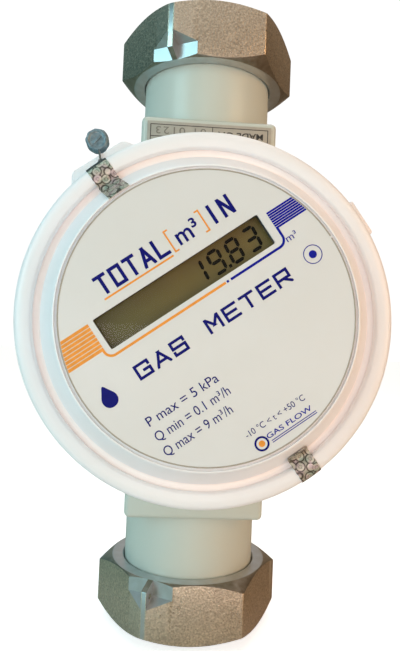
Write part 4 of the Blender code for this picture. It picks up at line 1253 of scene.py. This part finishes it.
def smooth_route(points, steps=6):
    """A Catmull-Rom curve through the points."""
    made = []
    for index in range(len(points) - 1):
        four = [Vector(points[max(0, min(len(points) - 1, index + shift))]) for shift in (-1, 0, 1, 2)]
        for step in range(steps):
            t = step / steps
            made.append(
                0.5 * (2 * four[1] + (four[2] - four[0]) * t
                       + (2 * four[0] - 5 * four[1] + 4 * four[2] - four[3]) * t**2
                       + (3 * four[1] - four[0] - 3 * four[2] + four[3]) * t**3)
            )
    return made + [Vector(points[-1])]


def tube(points, radius, sides=10):
    """A closed round bar along the points."""
    rings = []
    side_way = Vector((1, 0, 0))
    turns = [2 * math.pi * step / sides for step in range(sides)]
    for index, point in enumerate(points):
        along = (points[min(index + 1, len(points) - 1)] - points[max(index - 1, 0)]).normalized()
        up = along.cross(side_way).normalized()
        across = up.cross(along)
        rings.append([point + (across * math.cos(turn) + up * math.sin(turn)) * radius for turn in turns])
    return lofted(rings, whole=False)


def make_seal_wire(looks):
    """The wire loop from the seal through the lug's hole and back."""
    front_run, back_run = LUG_DEPTH[1] + 0.9, LUG_DEPTH[0] - 0.9
    foot = SEAL_ARM - SEAL_RADIUS - 0.35
    route = [
        (0, foot, SEAL_DEPTH + 1.0),
        (0, 2.9, front_run - 0.6),
        (0, 1.6, front_run),
        (0, 0.45, front_run - 0.1),
        (0, 0, front_run - 0.9),
        (0, 0, back_run + 0.9),
        (0, 0.45, back_run + 0.1),
        (0, 1.6, back_run),
        (0, 2.9, back_run + 0.6),
        (0, foot, SEAL_DEPTH - 1.0),
    ]
    bm = tube(smooth_route(route), WIRE_RADIUS)
    piece("seal_wire_loop", bm, [looks["wire"]], "seal", ["seal_wire"], HANGER)


def make_date_plate(looks):
    """The plate on the block's front above the head, with its print, which reads upside down."""
    low, high = cad_box("date_label")
    shape = softened(box(low, high), 0.12, 2)
    piece("date_plate", shape, [looks["plate"]], "body", ["date_label"])
    place = Matrix.Rotation(math.radians(90), 4, "X")
    face = -low.y
    line = 0.22
    inset = 0.9
    left, right = low.x + inset, high.x - inset
    bottom, top = low.z + inset, high.z - inset
    cell_end = 1.0
    cell_foot, second_foot = top - 3.8, top - 8.4
    lines = [
        rectangle(left, bottom, left + line, top),
        rectangle(right - line, bottom, right, top),
        rectangle(left, top - line, right, top),
        rectangle(left, cell_foot, cell_end, cell_foot + line),
        rectangle(cell_end - line, cell_foot, cell_end, top),
        rectangle(left, second_foot, cell_end, second_foot + line),
    ]
    on_plate = {"depth": face, "slot": "label_grey", "place": place, "body": "body"}
    printed("date_plate_frame", lines, looks["grey_ink"], **on_plate)
    lettering("date_plate_word", "MADE ON", looks["grey_ink"], (9.4, top - 2.3), 1.9, 13.6, 0.02,
              turn=180, **on_plate)
    lettering("date_plate_digits", "01 0123", looks["faint_ink"], (-8.5, top - 1.9), 2.3, 15.0, 0.0, 1.2,
              turn=180, **on_plate)


# ---------------------------------------------------------------- pieces kept from the CAD

SCREW_COUNTS = {"chamber_screw": 4, "jet_module_screw": 4, "board_screw": 3}
KEPT_LOOKS = {
    "cast": ["chamber_plate"],
    "spring": ["swivel_retaining_ring", "upper_snap_ring", "lower_snap_ring", "temperature_probe",
               "inlet_strainer"],
    "zinc": [f"{screw}_{number}" for screw, count in SCREW_COUNTS.items() for number in range(1, count + 1)],
    "rubber": ["chamber_gasket", "jet_module_gasket", "sensor_sleeve", "swivel_o_ring", "cover_gasket",
               "lcd_contact_strip_upper", "lcd_contact_strip_lower"],
    "dark": ["jet_module_base", "jet_module_cover", "jet_splitter", "processor", "battery_holder"],
    "brass": ["piezo_sensor"],
    "inner_white": ["lcd_frame"],
    "display": ["lcd_panel"],
    "pane": ["window_pane"],
    "board": ["circuit_board"],
    "wrap": ["battery"],
}


def dress_kept_nodes(looks):
    for look, nodes in KEPT_LOOKS.items():
        for node in nodes:
            mesh = frame["nodes"][node].data
            mesh.materials.clear()
            mesh.materials.append(looks[look].material)


# ---------------------------------------------------------------- stage, light and camera

FLOOR_RADIUS = 6.0
FLOOR_DROP = 2.4
FLOOR_GLOW = 0.75
WORLD_COLOURS = [
    (0.0, (0.03, 0.085, 0.09)),
    (0.28, (0.24, 0.42, 0.42)),
    (0.5, (0.70, 0.66, 0.61)),
    (0.72, (0.42, 0.31, 0.20)),
    (1.0, (0.05, 0.03, 0.018)),
]
WORLD_GLOW = 0.76
WORLD_SEEN = 1.05
CAMERA_PLACE = (-9.0, -183.6, -8.5)
CAMERA_YAW = -3.08
CAMERA_PITCH = 2.1
CAMERA_ROLL = -2.4
CAMERA_LENS = 29.86
SENSOR_WIDTH = 36.0


def make_stage():
    """A pale floor that reaches the horizon. In reflections it is cool left and warm right."""
    look = Look("floor_white", (0.82, 0.82, 0.82), 0.6)
    look.mottle(120.0, 0.006).smudge(60.0, 0.05)
    look.bump(look.noise(3.0, 2.0), 0.02)
    reflected = [
        (0.0, (0.30, 0.46, 0.42)),
        (0.36, (0.60, 0.66, 0.62)),
        (0.52, (0.90, 0.84, 0.77)),
        (0.72, (0.42, 0.30, 0.20)),
        (1.0, (0.34, 0.24, 0.16)),
    ]
    sheen = look.graded(-90.0, 90.0, reflected)
    glow = look.node("ShaderNodeEmission")
    path = look.node("ShaderNodeLightPath")
    look.paint(look.mixed(path.outputs["Is Glossy Ray"], look.base, sheen))
    glow_strength = look.node("ShaderNodeMath", operation="MULTIPLY")
    glow_strength.inputs[1].default_value = FLOOR_GLOW
    look.link(path.outputs["Is Camera Ray"], glow_strength.inputs[0])
    look.link(glow_strength.outputs[0], glow.inputs["Strength"])
    both = look.node("ShaderNodeAddShader")
    look.link(look.shader.outputs[0], both.inputs[0])
    look.link(glow.outputs[0], both.inputs[1])
    look.show(both)
    bm = bmesh.new()
    bmesh.ops.create_circle(bm, cap_ends=True, segments=96, radius=FLOOR_RADIUS)
    floor = in_scene(mesh_from(bm, "floor"), "floor")
    floor.data.materials.append(look.material)
    floor.location = (0, 0, CAD_BOUNDS[0].z - FLOOR_DROP * MM)


def make_world():
    """Seen directly it is white. As light it is brightest in the middle, cool to the left and warm right."""
    world = bpy.data.worlds.new("studio")
    world.use_nodes = True
    bpy.context.scene.world = world
    tree = world.node_tree
    background = tree.nodes["Background"]
    place = tree.nodes.new("ShaderNodeTexCoord")
    split = tree.nodes.new("ShaderNodeSeparateXYZ")
    tree.links.new(place.outputs["Generated"], split.inputs[0])
    across = tree.nodes.new("ShaderNodeMapRange")
    across.inputs["From Min"].default_value = -1.0
    tree.links.new(split.outputs["X"], across.inputs["Value"])
    sides = tree.nodes.new("ShaderNodeValToRGB")
    set_stops(sides.color_ramp, WORLD_COLOURS)
    tree.links.new(across.outputs[0], sides.inputs["Fac"])
    seen = tree.nodes.new("ShaderNodeBackground")
    seen.inputs["Color"].default_value = (1, 1, 1, 1)
    seen.inputs["Strength"].default_value = WORLD_SEEN
    tree.links.new(sides.outputs["Color"], background.inputs["Color"])
    background.inputs["Strength"].default_value = WORLD_GLOW
    path = tree.nodes.new("ShaderNodeLightPath")
    mix = tree.nodes.new("ShaderNodeMixShader")
    tree.links.new(path.outputs["Is Camera Ray"], mix.inputs[0])
    tree.links.new(background.outputs[0], mix.inputs[1])
    tree.links.new(seen.outputs[0], mix.inputs[2])
    tree.links.new(mix.outputs[0], tree.nodes["World Output"].inputs["Surface"])


def softbox(name, place, size, power, colour):
    """An area light that faces the meter."""
    light = bpy.data.lights.new(name, "AREA")
    light.shape = "RECTANGLE"
    light.size, light.size_y = size[0] * MM, size[1] * MM
    light.energy = power
    light.color = colour
    made = in_scene(light, name)
    made.location = Vector(place) * MM
    made.rotation_mode = "QUATERNION"
    made.rotation_quaternion = (-Vector(place)).to_track_quat("-Z", "Y")


def make_lights():
    softbox("light_left", (-440, -370, 60), (240, 640), 1.95, (0.54, 0.93, 1.0))
    softbox("light_right", (440, -360, 40), (240, 560), 1.7, (1.0, 0.58, 0.28))
    softbox("light_front", (30, -520, 620), (620, 420), 0.3, (1.0, 0.90, 0.82))
    softbox("light_low", (0, -620, -40), (700, 110), 0.72, (1.0, 0.84, 0.80))
    softbox("light_above", (0, 120, 620), (600, 600), 1.6, (1.0, 1.0, 1.0))


def make_camera():
    data = bpy.data.cameras.new("camera")
    data.sensor_width = SENSOR_WIDTH
    data.lens = CAMERA_LENS
    data.clip_start = 0.01
    camera = in_scene(data, "camera")
    yaw = Matrix.Rotation(math.radians(CAMERA_YAW), 4, "Z")
    pitch = Matrix.Rotation(math.radians(CAMERA_PITCH), 4, "X")
    roll = Matrix.Rotation(math.radians(CAMERA_ROLL), 4, "Y")
    upright = Matrix.Rotation(math.radians(90), 4, "X")
    camera.matrix_world = Matrix.Translation(Vector(CAMERA_PLACE) * MM) @ yaw @ pitch @ roll @ upright
    bpy.context.scene.camera = camera


def main():
    bpy.context.scene.view_settings.view_transform = "Standard"
    looks = make_looks()
    dress_kept_nodes(looks)
    make_body(looks)
    for side in (1, -1):
        make_nut(looks, side)
        make_washer(looks, side)
    make_head_base(looks)
    make_bezel(looks)
    make_cap(looks)
    make_label(looks)
    make_dial_print(looks)
    make_display(looks)
    for side in ("upper", "lower"):
        make_sticker(looks, side)
    make_lead_seal(looks)
    make_seal_wire(looks)
    make_date_plate(looks)
    make_stage()
    make_world()
    make_lights()
    make_camera()


main()

bpy.context.view_layer.update()
